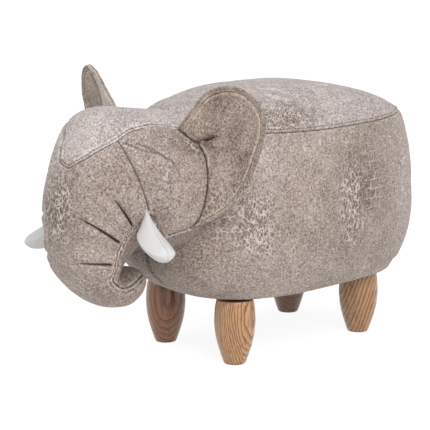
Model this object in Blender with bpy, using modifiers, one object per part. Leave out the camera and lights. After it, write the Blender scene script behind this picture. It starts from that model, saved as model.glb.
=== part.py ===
"""Elephant footstool: a stuffed elephant on four turned wooden legs.

The model is in metres, +Z up, with the elephant facing -Y and its left side at +X.
The origin is on the floor, at the middle of the bounding box's base.
From inside out there are a plywood frame, foam and fibre filling, and a sewn cover of
leather-look cloth. Each leg screws up into an insert in the base board with a hanger bolt,
and each ear hinges on its sewn root.
"""

import math

import bmesh
import bpy
import numpy as np
from mathutils import Matrix, Vector

MM = 0.001
DEGREE = math.pi / 180

# Body, measured over the cover
BODY_LENGTH = 426 * MM
BODY_WIDTH = 290 * MM
BODY_CENTRE_Y = 79.5 * MM
BODY_WIDEST_HEIGHT = 213 * MM
BODY_UNDERSIDE = 91.6 * MM
BODY_EDGE_RISE = 3.4 * MM
BODY_EDGE_SHARE = 0.835
BODY_LOWER_BULGE = 2.6
BODY_UPPER_BULGE = 2.4
BODY_FRONT_SQUARENESS = 3.1
BODY_REAR_SQUARENESS = 2.6
BODY_EDGE_SQUARENESS = 3.0
CHEST_BULGE = 19 * MM
CHEST_DROOP_SHARE = 0.75
BODY_COLUMNS = 40
BODY_LOWER_ROW_SHARES = (0, 0.12, 0.36, 0.66, 1)
BODY_UPPER_ROW_SHARES = (0.4, 0.75, 1)
HEM_INNER_SHARE = 0.75
HEM_TURN_SHARE = 0.79

# Seat
SEAT_END_INSET = 14 * MM
SEAT_SIDE_INSET = 17 * MM
SEAT_LENGTH = BODY_LENGTH - 2 * SEAT_END_INSET
SEAT_WIDTH = BODY_WIDTH - 2 * SEAT_SIDE_INSET
SEAT_TOP = 360 * MM
SEAT_SEAM_HEIGHT = 312 * MM
SEAT_FRONT_SEAM_RISE = 8 * MM
SEAT_REAR_SEAM_RISE = 3 * MM
SEAT_SQUARENESS = 2.5
SEAT_CROWN_POWER = 2.6
SEAT_FRONT_CROWN_POWER = 3.1
SEAT_REAR_CROWN_POWER = 1.9
SEAT_EDGE_POWER = 0.8
SEAT_RING_SHARES = (0.97, 0.88, 0.68, 0.38)

# Cover, filling and the clearances between pieces
COVER_THICKNESS = 1.3 * MM
SEAM_GAP = 1.2 * MM
FILLING_EASE = 0.6 * MM
FIT = 0.3 * MM
NECK_GAP = 0.4 * MM
CUT_OVERRUN = 10 * MM

# Head and trunk, as sections of the side view that run from an inner to an outer point
HEAD_REACH = 221 * MM
HEAD_DROP = 264 * MM
HEAD_WIDTH = 224 * MM
HEAD_TOP = 350 * MM
NECK_Y = -71.5 * MM
# Inner reach and drop, outer reach and drop, and width as shares, then the squareness
HEAD_SECTION_SHARES = (
    (0.000, 0.650, 0.020, 0.075, 0.840, 2.2),
    (0.135, 0.680, 0.165, 0.050, 0.930, 2.2),
    (0.340, 0.705, 0.385, 0.025, 1.000, 2.3),
    (0.515, 0.705, 0.580, 0.000, 0.965, 2.3),
    (0.525, 0.705, 0.725, 0.022, 0.820, 2.2),
    (0.535, 0.700, 0.862, 0.130, 0.700, 2.1),
    (0.550, 0.705, 0.962, 0.315, 0.620, 2.1),
    (0.575, 0.715, 1.000, 0.490, 0.570, 2.1),
    (0.640, 0.745, 0.972, 0.705, 0.515, 2.1),
    (0.670, 0.785, 0.902, 0.822, 0.470, 2.1),
    (0.625, 0.805, 0.758, 0.935, 0.410, 2.0),
    (0.565, 0.805, 0.582, 0.976, 0.350, 1.9),
    (0.490, 0.800, 0.477, 0.950, 0.285, 1.9),
    (0.427, 0.810, 0.418, 0.905, 0.195, 1.9),
    (0.392, 0.830, 0.385, 0.868, 0.060, 1.9),
)
# Places along the head are stations, counted in sections from the neck, with a row of points at each
HEAD_STATIONS = (
    0, 0.7, 1.3, 1.9, 2.5, 3.1, 3.7, 4.05, 4.4, 4.8, 5.2, 5.45, 5.65, 6.0, 6.5, 7,
    7.5, 8, 8.5, 9, 9.5, 10, 10.5, 11, 11.5, 12, 12.5, 13, 13.5, 14,
)
# Rows that carry the seam before the cheek, the split of the filling, and the crown's tip
FACE_SEAM_ROW = 8
FILLING_SPLIT_ROW = 9
CROWN_TIP_ROW = 12
# Seams round the head, as a station and the degrees from the middle of the crown
CROWN_SEAM = (
    (0, 36), (1.6, 36), (2.5, 34), (3.3, 36), (4.2, 37), (4.6, 33), (5, 28),
    (5.35, 20), (5.55, 11), (5.65, 4), (6.2, 10), (7, 22), (8, 27), (14, 27),
)
SIDE_SEAM = (
    (0, 114), (2.25, 117), (3, 120), (3.6, 120), (4, 112), (4.4, 97), (5, 99), (5.65, 97),
    (6.45, 93), (7, 90), (7.5, 86), (8.1, 79), (8.5, 78), (9, 83), (9.6, 97), (10.6, 116),
    (11.6, 127), (12.6, 133), (14, 135),
)
CROWN_CELLS = 2
CHEEK_CELLS = 5
THROAT_CELLS = 4
HEAD_COLUMNS = 2 * (CROWN_CELLS + CHEEK_CELLS + THROAT_CELLS)

# Ears, on a flat rim that is swept back, with a cupped face and a root along the head
EAR_ORIGIN_X = 102 * MM
EAR_ORIGIN_Y = -145.5 * MM
EAR_ORIGIN_Z = 270 * MM
EAR_SWEEP = 23.5 * DEGREE
RIGHT_EAR_SWEEP = 20 * DEGREE
RIGHT_EAR_LEAN = 9.5 * DEGREE
RIGHT_EAR_INSET = 6 * MM
RIGHT_EAR_SHIFT = 20 * MM
EAR_REACH = 90 * MM
RIGHT_EAR_REACH = 94 * MM
EAR_RISE = 115 * MM
EAR_CUP = 14 * MM
EAR_BELLY = 7 * MM
EAR_LIP_SHARE = 0.9
EAR_CORE_SHARE = 0.84
EAR_CORE_EASE = 1.1 * MM
EAR_LIP_GAP = 0.5 * MM
EAR_CENTRE_SHARES = (0.52, 0.3)
EAR_RING_SHARES = (0.4, 0.7, 0.9, 1)
# Out along the ear, up it, and forward of its rim, as shares of its reach, rise and cup
EAR_OUTLINE_SHARES = (
    (-0.30, 0.48, -0.50), (-0.21, 0.61, -0.30), (-0.06, 0.75, -0.10), (0.07, 0.88, 0),
    (0.25, 0.965, 0), (0.46, 1.00, 0), (0.66, 0.98, 0), (0.83, 0.90, 0), (0.95, 0.79, 0),
    (1.00, 0.64, 0), (0.98, 0.48, 0), (0.915, 0.28, 0), (0.82, 0.08, 0), (0.69, -0.11, 0),
    (0.53, -0.27, 0), (0.35, -0.40, 0), (0.15, -0.49, 0.20), (-0.03, -0.54, 0.50),
    (0.00, -0.36, 0.30), (0.04, -0.15, -0.10), (0.10, 0.04, -0.50), (0.08, 0.20, -0.80),
    (0.00, 0.32, -0.90), (-0.15, 0.40, -0.70),
)
EAR_HINGE_X = 106 * MM
EAR_HINGE_Y = -146 * MM
EAR_HINGE_Z = 260 * MM
EAR_HINGE_LEAN = 11.4 * DEGREE
EAR_FORWARD_SWING = 20 * DEGREE
EAR_BACKWARD_SWING = 15 * DEGREE
EAR_ROOT_GAP = 0.5 * MM

# Tusks
TUSK_ROOT_X = 52 * MM
TUSK_ROOT_Y = -208 * MM
LEFT_TUSK_ROOT_Z = 219 * MM
RIGHT_TUSK_ROOT_Z = 208 * MM
TUSK_TIP_X = 151 * MM
TUSK_TIP_Y = -234 * MM
LEFT_TUSK_TIP_Z = 188 * MM
RIGHT_TUSK_TIP_Z = 157 * MM
TUSK_BOW = 5 * MM
TUSK_HEIGHT = 46 * MM
TUSK_WIDTH = 30 * MM
# Place along the tusk, then its height and width there
TUSK_TAPER_SHARES = (
    (0, 1, 0.8), (0.24, 0.96, 0.9), (0.45, 0.81, 1), (0.65, 0.67, 0.95), (0.83, 0.51, 0.78),
    (0.94, 0.37, 0.56), (1, 0.2, 0.3),
)
TUSK_COLUMNS = 12

# Legs, in pairs about their own centre line
LEG_SPACING_X_SHARE = 0.493
LEG_SPACING_Y_SHARE = 0.561
LEGS_FORWARD = 14 * MM
LEG_SPACING_X = BODY_WIDTH * LEG_SPACING_X_SHARE
LEG_SPACING_Y = BODY_LENGTH * LEG_SPACING_Y_SHARE
LEGS_CENTRE_Y = BODY_CENTRE_Y - LEGS_FORWARD
LEG_HEIGHT = 89 * MM
LEG_DIAMETER = 55.5 * MM
LEG_BORE_DEPTH = 36 * MM
LEG_SEGMENTS = 20
# Height up the leg, and diameter as a share of its widest, from the top down
LEG_PROFILE_SHARES = (
    (1, 0.84), (0.985, 0.875), (0.93, 0.925), (0.84, 0.967), (0.67, 1), (0.54, 0.978),
    (0.40, 0.918), (0.27, 0.82), (0.15, 0.70), (0.06, 0.60), (0.02, 0.555), (0, 0.52),
)
GLIDE_DIAMETER = 20 * MM
GLIDE_THICKNESS = 3 * MM
GLIDE_STAND = 1 * MM
GLIDE_EDGE = 0.5 * MM

# Leg fixings
BOLT_DIAMETER = 8 * MM
BOLT_LENGTH = 62 * MM
BOLT_CLEARANCE = 0.3 * MM
BOLT_SEGMENTS = 12
INSERT_DIAMETER = 12 * MM
INSERT_LENGTH = 11 * MM
ROUND_SEGMENTS = 16

# Plywood frame
BOARD_THICKNESS = 12 * MM
BOARD_SQUARENESS = 3.4
BOARD_SEGMENTS = 32
BASE_END_CLEARANCE = 13.9 * MM
BASE_SIDE_CLEARANCE = 10 * MM
BASE_LENGTH = BODY_LENGTH * BODY_EDGE_SHARE - 2 * BASE_END_CLEARANCE
BASE_WIDTH = BODY_WIDTH * BODY_EDGE_SHARE - 2 * BASE_SIDE_CLEARANCE
DECK_END_CLEARANCE = 21 * MM
DECK_SIDE_CLEARANCE = 13 * MM
DECK_LENGTH = SEAT_LENGTH - 2 * DECK_END_CLEARANCE
DECK_WIDTH = SEAT_WIDTH - 2 * DECK_SIDE_CLEARANCE
DECK_BELOW_SEAM = 17 * MM
DECK_TOP = SEAT_SEAM_HEIGHT - DECK_BELOW_SEAM
PANEL_THICKNESS = 9 * MM
POST_SIZE = 20 * MM
DUST_COVER_THICKNESS = 1 * MM
DUST_COVER_SHARE = 0.77

# Heights that follow from the sizes above
LEG_BOTTOM = GLIDE_STAND
LEG_TOP = LEG_BOTTOM + LEG_HEIGHT
DUST_COVER_BOTTOM = LEG_TOP + FIT
BASE_BOTTOM = BODY_UNDERSIDE + COVER_THICKNESS + FIT
BASE_TOP = BASE_BOTTOM + BOARD_THICKNESS
DECK_BOTTOM = DECK_TOP - BOARD_THICKNESS
BOX_BOTTOM = BASE_TOP + FIT
BOX_TOP = DECK_BOTTOM - FIT
BOLT_BOTTOM = LEG_TOP - LEG_BORE_DEPTH + BOLT_CLEARANCE
BOLT_TOP = BOLT_BOTTOM + BOLT_LENGTH
BORE_DIAMETER = BOLT_DIAMETER + 2 * BOLT_CLEARANCE
BODY_EDGE_HEIGHT = BODY_UNDERSIDE + BODY_EDGE_RISE

# Colour, roughness and metallic value
LOOKS = {
    "leather": ((0.42, 0.35, 0.31), 0.62, 0),
    "leather_inner_ear": ((0.34, 0.28, 0.24), 0.66, 0),
    "tusk_leather": ((0.80, 0.80, 0.79), 0.60, 0),
    "wood": ((0.50, 0.27, 0.12), 0.45, 0),
    "plywood": ((0.62, 0.45, 0.27), 0.70, 0),
    "foam": ((0.82, 0.77, 0.55), 0.90, 0),
    "fibre": ((0.85, 0.85, 0.83), 0.95, 0),
    "steel": ((0.60, 0.60, 0.60), 0.35, 1),
    "dust_cloth": ((0.03, 0.03, 0.03), 0.90, 0),
    "glide_plastic": ((0.08, 0.08, 0.08), 0.50, 0),
}


def make_material(name):
    """Returns the named Principled material, and makes it on its first use."""
    material = bpy.data.materials.get(name)
    if material:
        return material
    colour, roughness, metallic = LOOKS[name]
    material = bpy.data.materials.new(name)
    material.use_nodes = True
    shader = material.node_tree.nodes["Principled BSDF"]
    shader.inputs["Base Color"].default_value = (*colour, 1)
    shader.inputs["Roughness"].default_value = roughness
    shader.inputs["Metallic"].default_value = metallic
    material.diffuse_color = (*colour, 1)
    return material


class Workshop:
    """Keeps the model's parts and its cutters in collections of their own."""

    def __init__(self):
        self.parts = self.collection("elephant_footstool")
        self.cutters = self.collection("cutters")

    @staticmethod
    def collection(name):
        """Returns a new collection in the scene."""
        made = bpy.data.collections.new(name)
        bpy.context.scene.collection.children.link(made)
        return made

    def part(self, name, data, material, smooth=True):
        """Makes a part of the model from its mesh."""
        obj = bpy.data.objects.new(name, data)
        data.materials.append(make_material(material))
        if smooth:
            data.shade_smooth()
            data.set_sharp_from_angle(angle=40 * DEGREE)
        self.parts.objects.link(obj)
        return obj

    def cutter(self, name, data):
        """Makes a cutter, which takes its shape out of parts."""
        obj = bpy.data.objects.new(name, data)
        obj.hide_render = True
        obj.display_type = "WIRE"
        self.cutters.objects.link(obj)
        return obj


def cut(obj, cutters):
    """Takes each cutter's shape out of an object."""
    for cutter in cutters:
        modifier = obj.modifiers.new(cutter.name, "BOOLEAN")
        modifier.operation = "DIFFERENCE"
        modifier.solver = "EXACT"
        modifier.object = cutter


def thicken(obj, thickness, outward=False):
    """Gives an open surface a wall on its inner side, or on its outer side."""
    modifier = obj.modifiers.new("wall", "SOLIDIFY")
    modifier.thickness = thickness
    modifier.offset = 1 if outward else -1


def between(table, station):
    """Reads a table of places and values, straight between its rows."""
    return float(np.interp(station, [row[0] for row in table], [row[1] for row in table]))


def curve_through(table, station):
    """Reads a smooth curve through a table's rows, at a place counted in rows."""
    rows = np.asarray(table, float)
    last = len(rows) - 1
    i = min(int(station), last - 1)
    t = station - i
    before, start, end, after = rows[max(i - 1, 0)], rows[i], rows[i + 1], rows[min(i + 2, last)]
    bend = (end - before) * t
    bend += (2 * before - 5 * start + 4 * end - after) * t**2
    bend += (3 * start - before - 3 * end + after) * t**3
    return start + bend / 2


def rounded(angle, squareness):
    """Returns the sine and cosine of an angle round a superellipse."""
    exponent = 2 / squareness
    sine, cosine = math.sin(angle), math.cos(angle)
    return (
        math.copysign(abs(sine) ** exponent, sine),
        math.copysign(abs(cosine) ** exponent, cosine),
    )


def oval(width, length, squareness, centre_y, count):
    """Returns the points of a rounded outline in plan, from its front over its left side."""
    points = []
    for i in range(count):
        sine, cosine = rounded(2 * math.pi * i / count, squareness)
        points.append((sine * width / 2, centre_y - cosine * length / 2))
    return points


def box_mesh(name, low, high):
    """Returns a box between two corners."""
    size = Vector(high) - Vector(low)
    mesh = bmesh.new()
    bmesh.ops.create_cube(mesh, size=1)
    bmesh.ops.scale(mesh, vec=size, verts=mesh.verts)
    bmesh.ops.translate(mesh, vec=Vector(low) + size / 2, verts=mesh.verts)
    return finished(mesh, name)


def cylinder_mesh(name, diameter, bottom, top, segments=ROUND_SEGMENTS):
    """Returns a cylinder about the Z axis, between two heights."""
    radius = diameter / 2
    mesh = bmesh.new()
    bmesh.ops.create_cone(
        mesh, cap_ends=True, segments=segments, radius1=radius, radius2=radius, depth=top - bottom
    )
    bmesh.ops.translate(mesh, vec=(0, 0, (top + bottom) / 2), verts=mesh.verts)
    return finished(mesh, name)


def finished(mesh, name):
    """Turns a bmesh into a mesh and frees it."""
    data = bpy.data.meshes.new(name)
    mesh.to_mesh(data)
    mesh.free()
    return data


def plate_mesh(name, outlines, bottom, thickness):
    """Returns a flat plate from outlines in plan, where one inside another is a hole."""
    curve = bpy.data.curves.new(name, "CURVE")
    curve.dimensions = "2D"
    curve.fill_mode = "BOTH"
    curve.extrude = thickness / 2
    for outline in outlines:
        spline = curve.splines.new("POLY")
        spline.points.add(len(outline) - 1)
        for point, (x, y) in zip(spline.points, outline):
            point.co = (x, y, 0, 1)
        spline.use_cyclic_u = True
    flat = bpy.data.objects.new(name + "_outline", curve)
    bpy.context.scene.collection.objects.link(flat)
    evaluated = flat.evaluated_get(bpy.context.evaluated_depsgraph_get())
    mesh = bmesh.new()
    mesh.from_mesh(bpy.data.meshes.new_from_object(evaluated))
    bmesh.ops.remove_doubles(mesh, verts=mesh.verts, dist=FIT / 100)
    bmesh.ops.recalc_face_normals(mesh, faces=mesh.faces)
    bmesh.ops.translate(mesh, vec=(0, 0, bottom + thickness / 2), verts=mesh.verts)
    bpy.data.objects.remove(flat, do_unlink=True)
    return finished(mesh, name)


def leg_places():
    """Returns each leg's name and its place in plan."""
    return [
        (f"{end}_{side}", sign_x * LEG_SPACING_X / 2, LEGS_CENTRE_Y + sign_y * LEG_SPACING_Y / 2)
        for end, sign_y in (("front", -1), ("rear", 1))
        for side, sign_x in (("left", 1), ("right", -1))
    ]


def holes(diameter, segments=ROUND_SEGMENTS):
    """Returns a round hole's outline at each leg's place."""
    turn = 2 * math.pi / segments
    radius = diameter / 2
    return [
        [(x + math.cos(i * turn) * radius, y + math.sin(i * turn) * radius) for i in range(segments)]
        for _, x, y in leg_places()
    ]


def surface_normals(grid, outward_from):
    """Returns the unit normals of a grid that closes on itself, turned away from given centres."""
    along = np.gradient(grid, axis=0)
    around = np.roll(grid, -1, axis=1) - np.roll(grid, 1, axis=1)
    normals = np.cross(along, around)
    normals /= np.maximum(np.linalg.norm(normals, axis=2, keepdims=True), FIT * FIT * FIT)
    facing = np.sum(normals * (grid - outward_from), axis=(1, 2))
    return normals * np.sign(facing.sum())


def sheet_bmesh(grid, cells, fan_row=None, fan_tip=None):
    """Makes an open surface from some cells of a grid, with a fan of faces to a tip if one is given."""
    columns = grid.shape[1]
    mesh = bmesh.new()
    points = {}

    def vertex(i, j):
        key = (i, j % columns)
        if key not in points:
            points[key] = mesh.verts.new(grid[key])
        return points[key]

    for i, j in cells:
        mesh.faces.new((vertex(i, j), vertex(i, j + 1), vertex(i + 1, j + 1), vertex(i + 1, j)))
    if fan_row is not None:
        tip = mesh.verts.new(fan_tip)
        for j in range(columns):
            mesh.faces.new((vertex(fan_row, j), vertex(fan_row, j + 1), tip))
    return mesh


def face_away(mesh, centre_of):
    """Turns a surface's faces away from the centres that a function gives for their places."""
    bmesh.ops.recalc_face_normals(mesh, faces=mesh.faces)
    facing = 0
    for face in mesh.faces:
        middle = face.calc_center_median()
        facing += face.normal.dot(middle - Vector(centre_of(middle))) * face.calc_area()
    if facing < 0:
        bmesh.ops.reverse_faces(mesh, faces=mesh.faces)


def draw_in_edges(mesh, distance):
    """Moves a surface's open edges inwards along its faces, to leave room for a seam."""
    moves = {}
    for edge in mesh.edges:
        if not edge.is_boundary:
            continue
        face = edge.link_faces[0]
        inward = face.normal.cross(edge.verts[1].co - edge.verts[0].co).normalized()
        if inward.dot(face.calc_center_median() - edge.verts[0].co) < 0:
            inward.negate()
        for vertex in edge.verts:
            moves.setdefault(vertex, []).append(inward)
    for vertex, directions in moves.items():
        total = sum(directions, Vector())
        share = max(total.length_squared / len(directions), 0.5)
        vertex.co += total * (distance / share)


def closed_mesh(name, grid, first_tip, last_tip):
    """Makes a closed body from rings, with a fan to a tip at each end."""
    rows, columns = grid.shape[:2]
    cells = [(i, j) for i in range(rows - 1) for j in range(columns)]
    mesh = sheet_bmesh(grid, cells, rows - 1, last_tip)
    rim = [edge for edge in mesh.edges if edge.is_boundary]
    tip = mesh.verts.new(first_tip)
    for edge in rim:
        mesh.faces.new((*edge.verts, tip))
    bmesh.ops.recalc_face_normals(mesh, faces=mesh.faces)
    if mesh.calc_volume(signed=True) < 0:
        bmesh.ops.reverse_faces(mesh, faces=mesh.faces)
    return finished(mesh, name)


class BodyForm:
    """The body as rings from the hem up to the seat, each starting at its front."""

    def __init__(self):
        half_width, half_length = BODY_WIDTH / 2, BODY_LENGTH / 2
        edge = (BODY_EDGE_SQUARENESS, BODY_EDGE_SQUARENESS)
        side = (BODY_FRONT_SQUARENESS, BODY_REAR_SQUARENESS)
        seat = (SEAT_SQUARENESS, SEAT_SQUARENESS)
        rings = [
            self.ring(half_width * share, half_length * share, edge, BODY_UNDERSIDE)
            for share in (HEM_INNER_SHARE, HEM_TURN_SHARE)
        ]
        for share in BODY_LOWER_ROW_SHARES:
            height = BODY_EDGE_HEIGHT + (BODY_WIDEST_HEIGHT - BODY_EDGE_HEIGHT) * share
            t = 1 - share
            scale = 1 - (1 - BODY_EDGE_SHARE) * t**BODY_LOWER_BULGE
            chest = CHEST_BULGE * math.sin(math.pi * share**CHEST_DROOP_SHARE)
            rings.append(self.ring(
                half_width * scale, half_length * scale, self.mix(side, edge, t), height, chest=chest
            ))
        for share in BODY_UPPER_ROW_SHARES:
            draw = share**BODY_UPPER_BULGE
            rings.append(self.ring(
                half_width + (SEAT_WIDTH / 2 - half_width) * draw,
                half_length + (SEAT_LENGTH / 2 - half_length) * draw,
                self.mix(side, seat, share),
                BODY_WIDEST_HEIGHT + (SEAT_SEAM_HEIGHT - BODY_WIDEST_HEIGHT) * share,
                rise_share=share,
            ))
        self.seam_row = len(rings) - 1
        rings += [self.seat_ring(share) for share in SEAT_RING_SHARES]
        self.rings = np.array(rings)
        self.bottom = np.array((0, BODY_CENTRE_Y, BODY_UNDERSIDE))
        self.top = np.array((0, BODY_CENTRE_Y, SEAT_TOP))
        self.centre = np.array((0, BODY_CENTRE_Y, BODY_WIDEST_HEIGHT))

    @staticmethod
    def mix(start, end, share):
        """Mixes two pairs of squareness, for the front and for the rear."""
        return tuple(a + (b - a) * share for a, b in zip(start, end))

    @staticmethod
    def ring(half_width, half_length, squareness, height, rise_share=0, chest=0):
        """Returns a closed ring, with a share of the seam's rise at its ends and its front moved out."""
        ring = []
        for j in range(BODY_COLUMNS):
            angle = 2 * math.pi * j / BODY_COLUMNS
            in_front = math.cos(angle) > 0
            sine, cosine = rounded(angle, squareness[0 if in_front else 1])
            rise = (SEAT_FRONT_SEAM_RISE if in_front else SEAT_REAR_SEAM_RISE) * rise_share * cosine**2
            ahead = cosine * half_length + (chest * cosine**2 if in_front else 0)
            ring.append((sine * half_width, BODY_CENTRE_Y - ahead, height + rise))
        return ring

    @staticmethod
    def seat_ring(share):
        """Returns a closed ring of the seat's dome, which falls away sooner towards the rear."""
        ring = []
        for j in range(BODY_COLUMNS):
            sine, cosine = rounded(2 * math.pi * j / BODY_COLUMNS, SEAT_SQUARENESS)
            end_power = SEAT_FRONT_CROWN_POWER if cosine > 0 else SEAT_REAR_CROWN_POWER
            power = SEAT_CROWN_POWER + (end_power - SEAT_CROWN_POWER) * abs(cosine)
            rise = (SEAT_FRONT_SEAM_RISE if cosine > 0 else SEAT_REAR_SEAM_RISE) * share**power * cosine**2
            crown = (SEAT_TOP - SEAT_SEAM_HEIGHT) * (1 - share**power) ** SEAT_EDGE_POWER
            ring.append((
                sine * share * SEAT_WIDTH / 2,
                BODY_CENTRE_Y - cosine * share * SEAT_LENGTH / 2,
                SEAT_SEAM_HEIGHT + crown + rise,
            ))
        return ring

    def closed(self, name, offset):
        """Returns the whole body as a closed mesh, moved out from its surface by an offset."""
        normals = surface_normals(self.rings, self.centre)
        rise = np.array((0, 0, offset))
        return closed_mesh(name, self.rings + normals * offset, self.bottom - rise, self.top + rise)

    def panel(self, name, cells, tip=None):
        """Returns an open panel of the cover, with its seams drawn in."""
        mesh = sheet_bmesh(self.rings, cells, None if tip is None else len(self.rings) - 1, tip)
        face_away(mesh, lambda place: self.centre)
        draw_in_edges(mesh, SEAM_GAP / 2)
        return finished(mesh, name)


class HeadForm:
    """The head and trunk as rings from the neck to the trunk's tip, each starting at its top."""

    def __init__(self):
        self.rings = np.array([
            [self.point(station, degrees) for degrees in self.columns(station)] for station in HEAD_STATIONS
        ])
        self.centres = self.rings.mean(axis=1)
        ahead = self.centres[-1] - self.centres[-2]
        self.tip = self.centres[-1] + ahead / 4
        self.tip_direction = ahead / np.linalg.norm(ahead)

    @staticmethod
    def point(station, degrees):
        """Returns the point of the surface at a station and an angle from the crown's middle."""
        inner_reach, inner_drop, outer_reach, outer_drop, width, squareness = curve_through(
            HEAD_SECTION_SHARES, station
        )
        inner = np.array((NECK_Y - inner_reach * HEAD_REACH, HEAD_TOP - inner_drop * HEAD_DROP))
        outer = np.array((NECK_Y - outer_reach * HEAD_REACH, HEAD_TOP - outer_drop * HEAD_DROP))
        sine, cosine = rounded(degrees * DEGREE, squareness)
        y, z = (inner + outer + (outer - inner) * cosine) / 2
        return sine * width * HEAD_WIDTH / 2, y, z

    @staticmethod
    def columns(station):
        """Returns the angles of a ring's points, which lie on the seams where those pass."""
        crown, side = between(CROWN_SEAM, station), between(SIDE_SEAM, station)
        half = [crown * i / CROWN_CELLS for i in range(CROWN_CELLS)]
        half += [crown + (side - crown) * i / CHEEK_CELLS for i in range(CHEEK_CELLS)]
        half += [side + (180 - side) * i / THROAT_CELLS for i in range(THROAT_CELLS)]
        return half + [180] + [-degrees for degrees in reversed(half[1:])]

    def nearest_centre(self, place):
        """Returns the ring centre that is nearest to a place."""
        return self.centres[int(np.linalg.norm(self.centres - np.array(place), axis=1).argmin())]

    def offset_rings(self, offset):
        """Returns the rings moved out from the surface by an offset."""
        return self.rings + surface_normals(self.rings, self.centres[:, None]) * offset

    def closed(self, name, offset, first=0, last=None, start_gap=0):
        """Returns a closed mesh of the rings from first to last, at an offset from the surface."""
        rings = self.offset_rings(offset)[first:last]
        ahead = rings[1].mean(axis=0) - rings[0].mean(axis=0)
        rings[0] += ahead / np.linalg.norm(ahead) * start_gap
        end = rings[-1].mean(axis=0)
        if last is None:
            rings[-1] += self.tip_direction * offset
            end = self.tip + self.tip_direction * offset
        return closed_mesh(name, rings, rings[0].mean(axis=0), end)

    def panel(self, name, cells, with_tip=False):
        """Returns an open panel of the cover, with its seams drawn in."""
        last = len(self.rings) - 1
        mesh = sheet_bmesh(self.rings, cells, last if with_tip else None, self.tip if with_tip else None)
        face_away(mesh, self.nearest_centre)
        draw_in_edges(mesh, SEAM_GAP / 2)
        return finished(mesh, name)


def build_legs(shop):
    """Makes each leg with its glide, hanger bolt and threaded insert."""
    bore = shop.cutter("leg_bore_cutter", cylinder_mesh(
        "leg_bore_cutter", BORE_DIAMETER, LEG_TOP - LEG_BORE_DEPTH, LEG_TOP + CUT_OVERRUN, BOLT_SEGMENTS
    ))
    recess = shop.cutter("glide_recess_cutter", cylinder_mesh(
        "glide_recess_cutter", GLIDE_DIAMETER + 2 * FIT, -CUT_OVERRUN, GLIDE_THICKNESS + FIT
    ))
    threads = shop.cutter("insert_bore_cutter", cylinder_mesh(
        "insert_bore_cutter", BORE_DIAMETER, BASE_BOTTOM - CUT_OVERRUN, BASE_TOP + CUT_OVERRUN, BOLT_SEGMENTS
    ))
    for place, x, y in leg_places():
        leg = turned_leg(shop, f"leg_{place}")
        glide = shop.part(f"glide_{place}", cylinder_mesh(
            "glide", GLIDE_DIAMETER, 0, GLIDE_THICKNESS
        ), "glide_plastic")
        edge = glide.modifiers.new("edge", "BEVEL")
        edge.width = GLIDE_EDGE
        edge.segments = 1
        bolt = shop.part(f"hanger_bolt_{place}", cylinder_mesh(
            "hanger_bolt", BOLT_DIAMETER, BOLT_BOTTOM, BOLT_TOP, BOLT_SEGMENTS
        ), "steel")
        insert_bottom = (BASE_BOTTOM + BASE_TOP - INSERT_LENGTH) / 2
        insert = shop.part(f"threaded_insert_{place}", cylinder_mesh(
            "threaded_insert", INSERT_DIAMETER, insert_bottom, insert_bottom + INSERT_LENGTH
        ), "steel")
        for obj in (leg, glide, bolt, insert):
            obj.location = (x, y, 0)
        cut_here(shop, leg, (bore, recess), (x, y, 0))
        cut_here(shop, insert, (threads,), (x, y, 0))


def cut_here(shop, obj, cutters, place):
    """Cuts an object with copies of cutters that are moved to a place."""
    for cutter in cutters:
        copy = shop.cutter(f"{cutter.name}_{obj.name}", cutter.data)
        copy.location = place
        cut(obj, (copy,))


def turned_leg(shop, name):
    """Returns a leg turned from its profile, about the Z axis."""
    mesh = bmesh.new()
    profile = [
        (share * LEG_DIAMETER / 2, 0, LEG_BOTTOM + height * LEG_HEIGHT)
        for height, share in LEG_PROFILE_SHARES
    ]
    profile = [(0, 0, LEG_TOP), *profile, (0, 0, LEG_BOTTOM)]
    points = [mesh.verts.new(point) for point in profile]
    for start, end in zip(points, points[1:]):
        mesh.edges.new((start, end))
    leg = shop.part(name, finished(mesh, name), "wood")
    screw = leg.modifiers.new("turning", "SCREW")
    screw.steps = screw.render_steps = LEG_SEGMENTS
    screw.use_merge_vertices = True
    screw.merge_threshold = FIT / 100
    screw.use_smooth_shade = True
    return leg


def build_frame(shop):
    """Makes the base board, the deck board, and the posts and panels between them."""
    base_outline = oval(BASE_WIDTH, BASE_LENGTH, BOARD_SQUARENESS, BODY_CENTRE_Y, BOARD_SEGMENTS)
    deck_outline = oval(DECK_WIDTH, DECK_LENGTH, BOARD_SQUARENESS, BODY_CENTRE_Y, BOARD_SEGMENTS)
    shop.part("base_board", plate_mesh(
        "base_board", [base_outline, *holes(INSERT_DIAMETER + 2 * FIT)], BASE_BOTTOM, BOARD_THICKNESS
    ), "plywood", smooth=False)
    shop.part("deck_board", plate_mesh(
        "deck_board", [deck_outline], DECK_BOTTOM, BOARD_THICKNESS
    ), "plywood", smooth=False)
    cloth = oval(
        BODY_WIDTH * DUST_COVER_SHARE, BODY_LENGTH * DUST_COVER_SHARE,
        BODY_EDGE_SQUARENESS, BODY_CENTRE_Y, BODY_COLUMNS,
    )
    shop.part("dust_cover", plate_mesh(
        "dust_cover", [cloth, *holes(BORE_DIAMETER, BOLT_SEGMENTS)], DUST_COVER_BOTTOM, DUST_COVER_THICKNESS
    ), "dust_cloth", smooth=False)
    for place, x, y in leg_places():
        half = POST_SIZE / 2
        post = shop.part(f"post_{place}", box_mesh(
            "post", (x - half, y - half, BOX_BOTTOM), (x + half, y + half, BOX_TOP)
        ), "plywood", smooth=False)
        socket = shop.cutter(f"post_bore_cutter_{place}", cylinder_mesh(
            "post_bore_cutter", BORE_DIAMETER, BASE_BOTTOM, BOLT_TOP + BOLT_CLEARANCE, BOLT_SEGMENTS
        ))
        socket.location = (x, y, 0)
        cut(post, (socket,))
    build_panels(shop)


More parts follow.
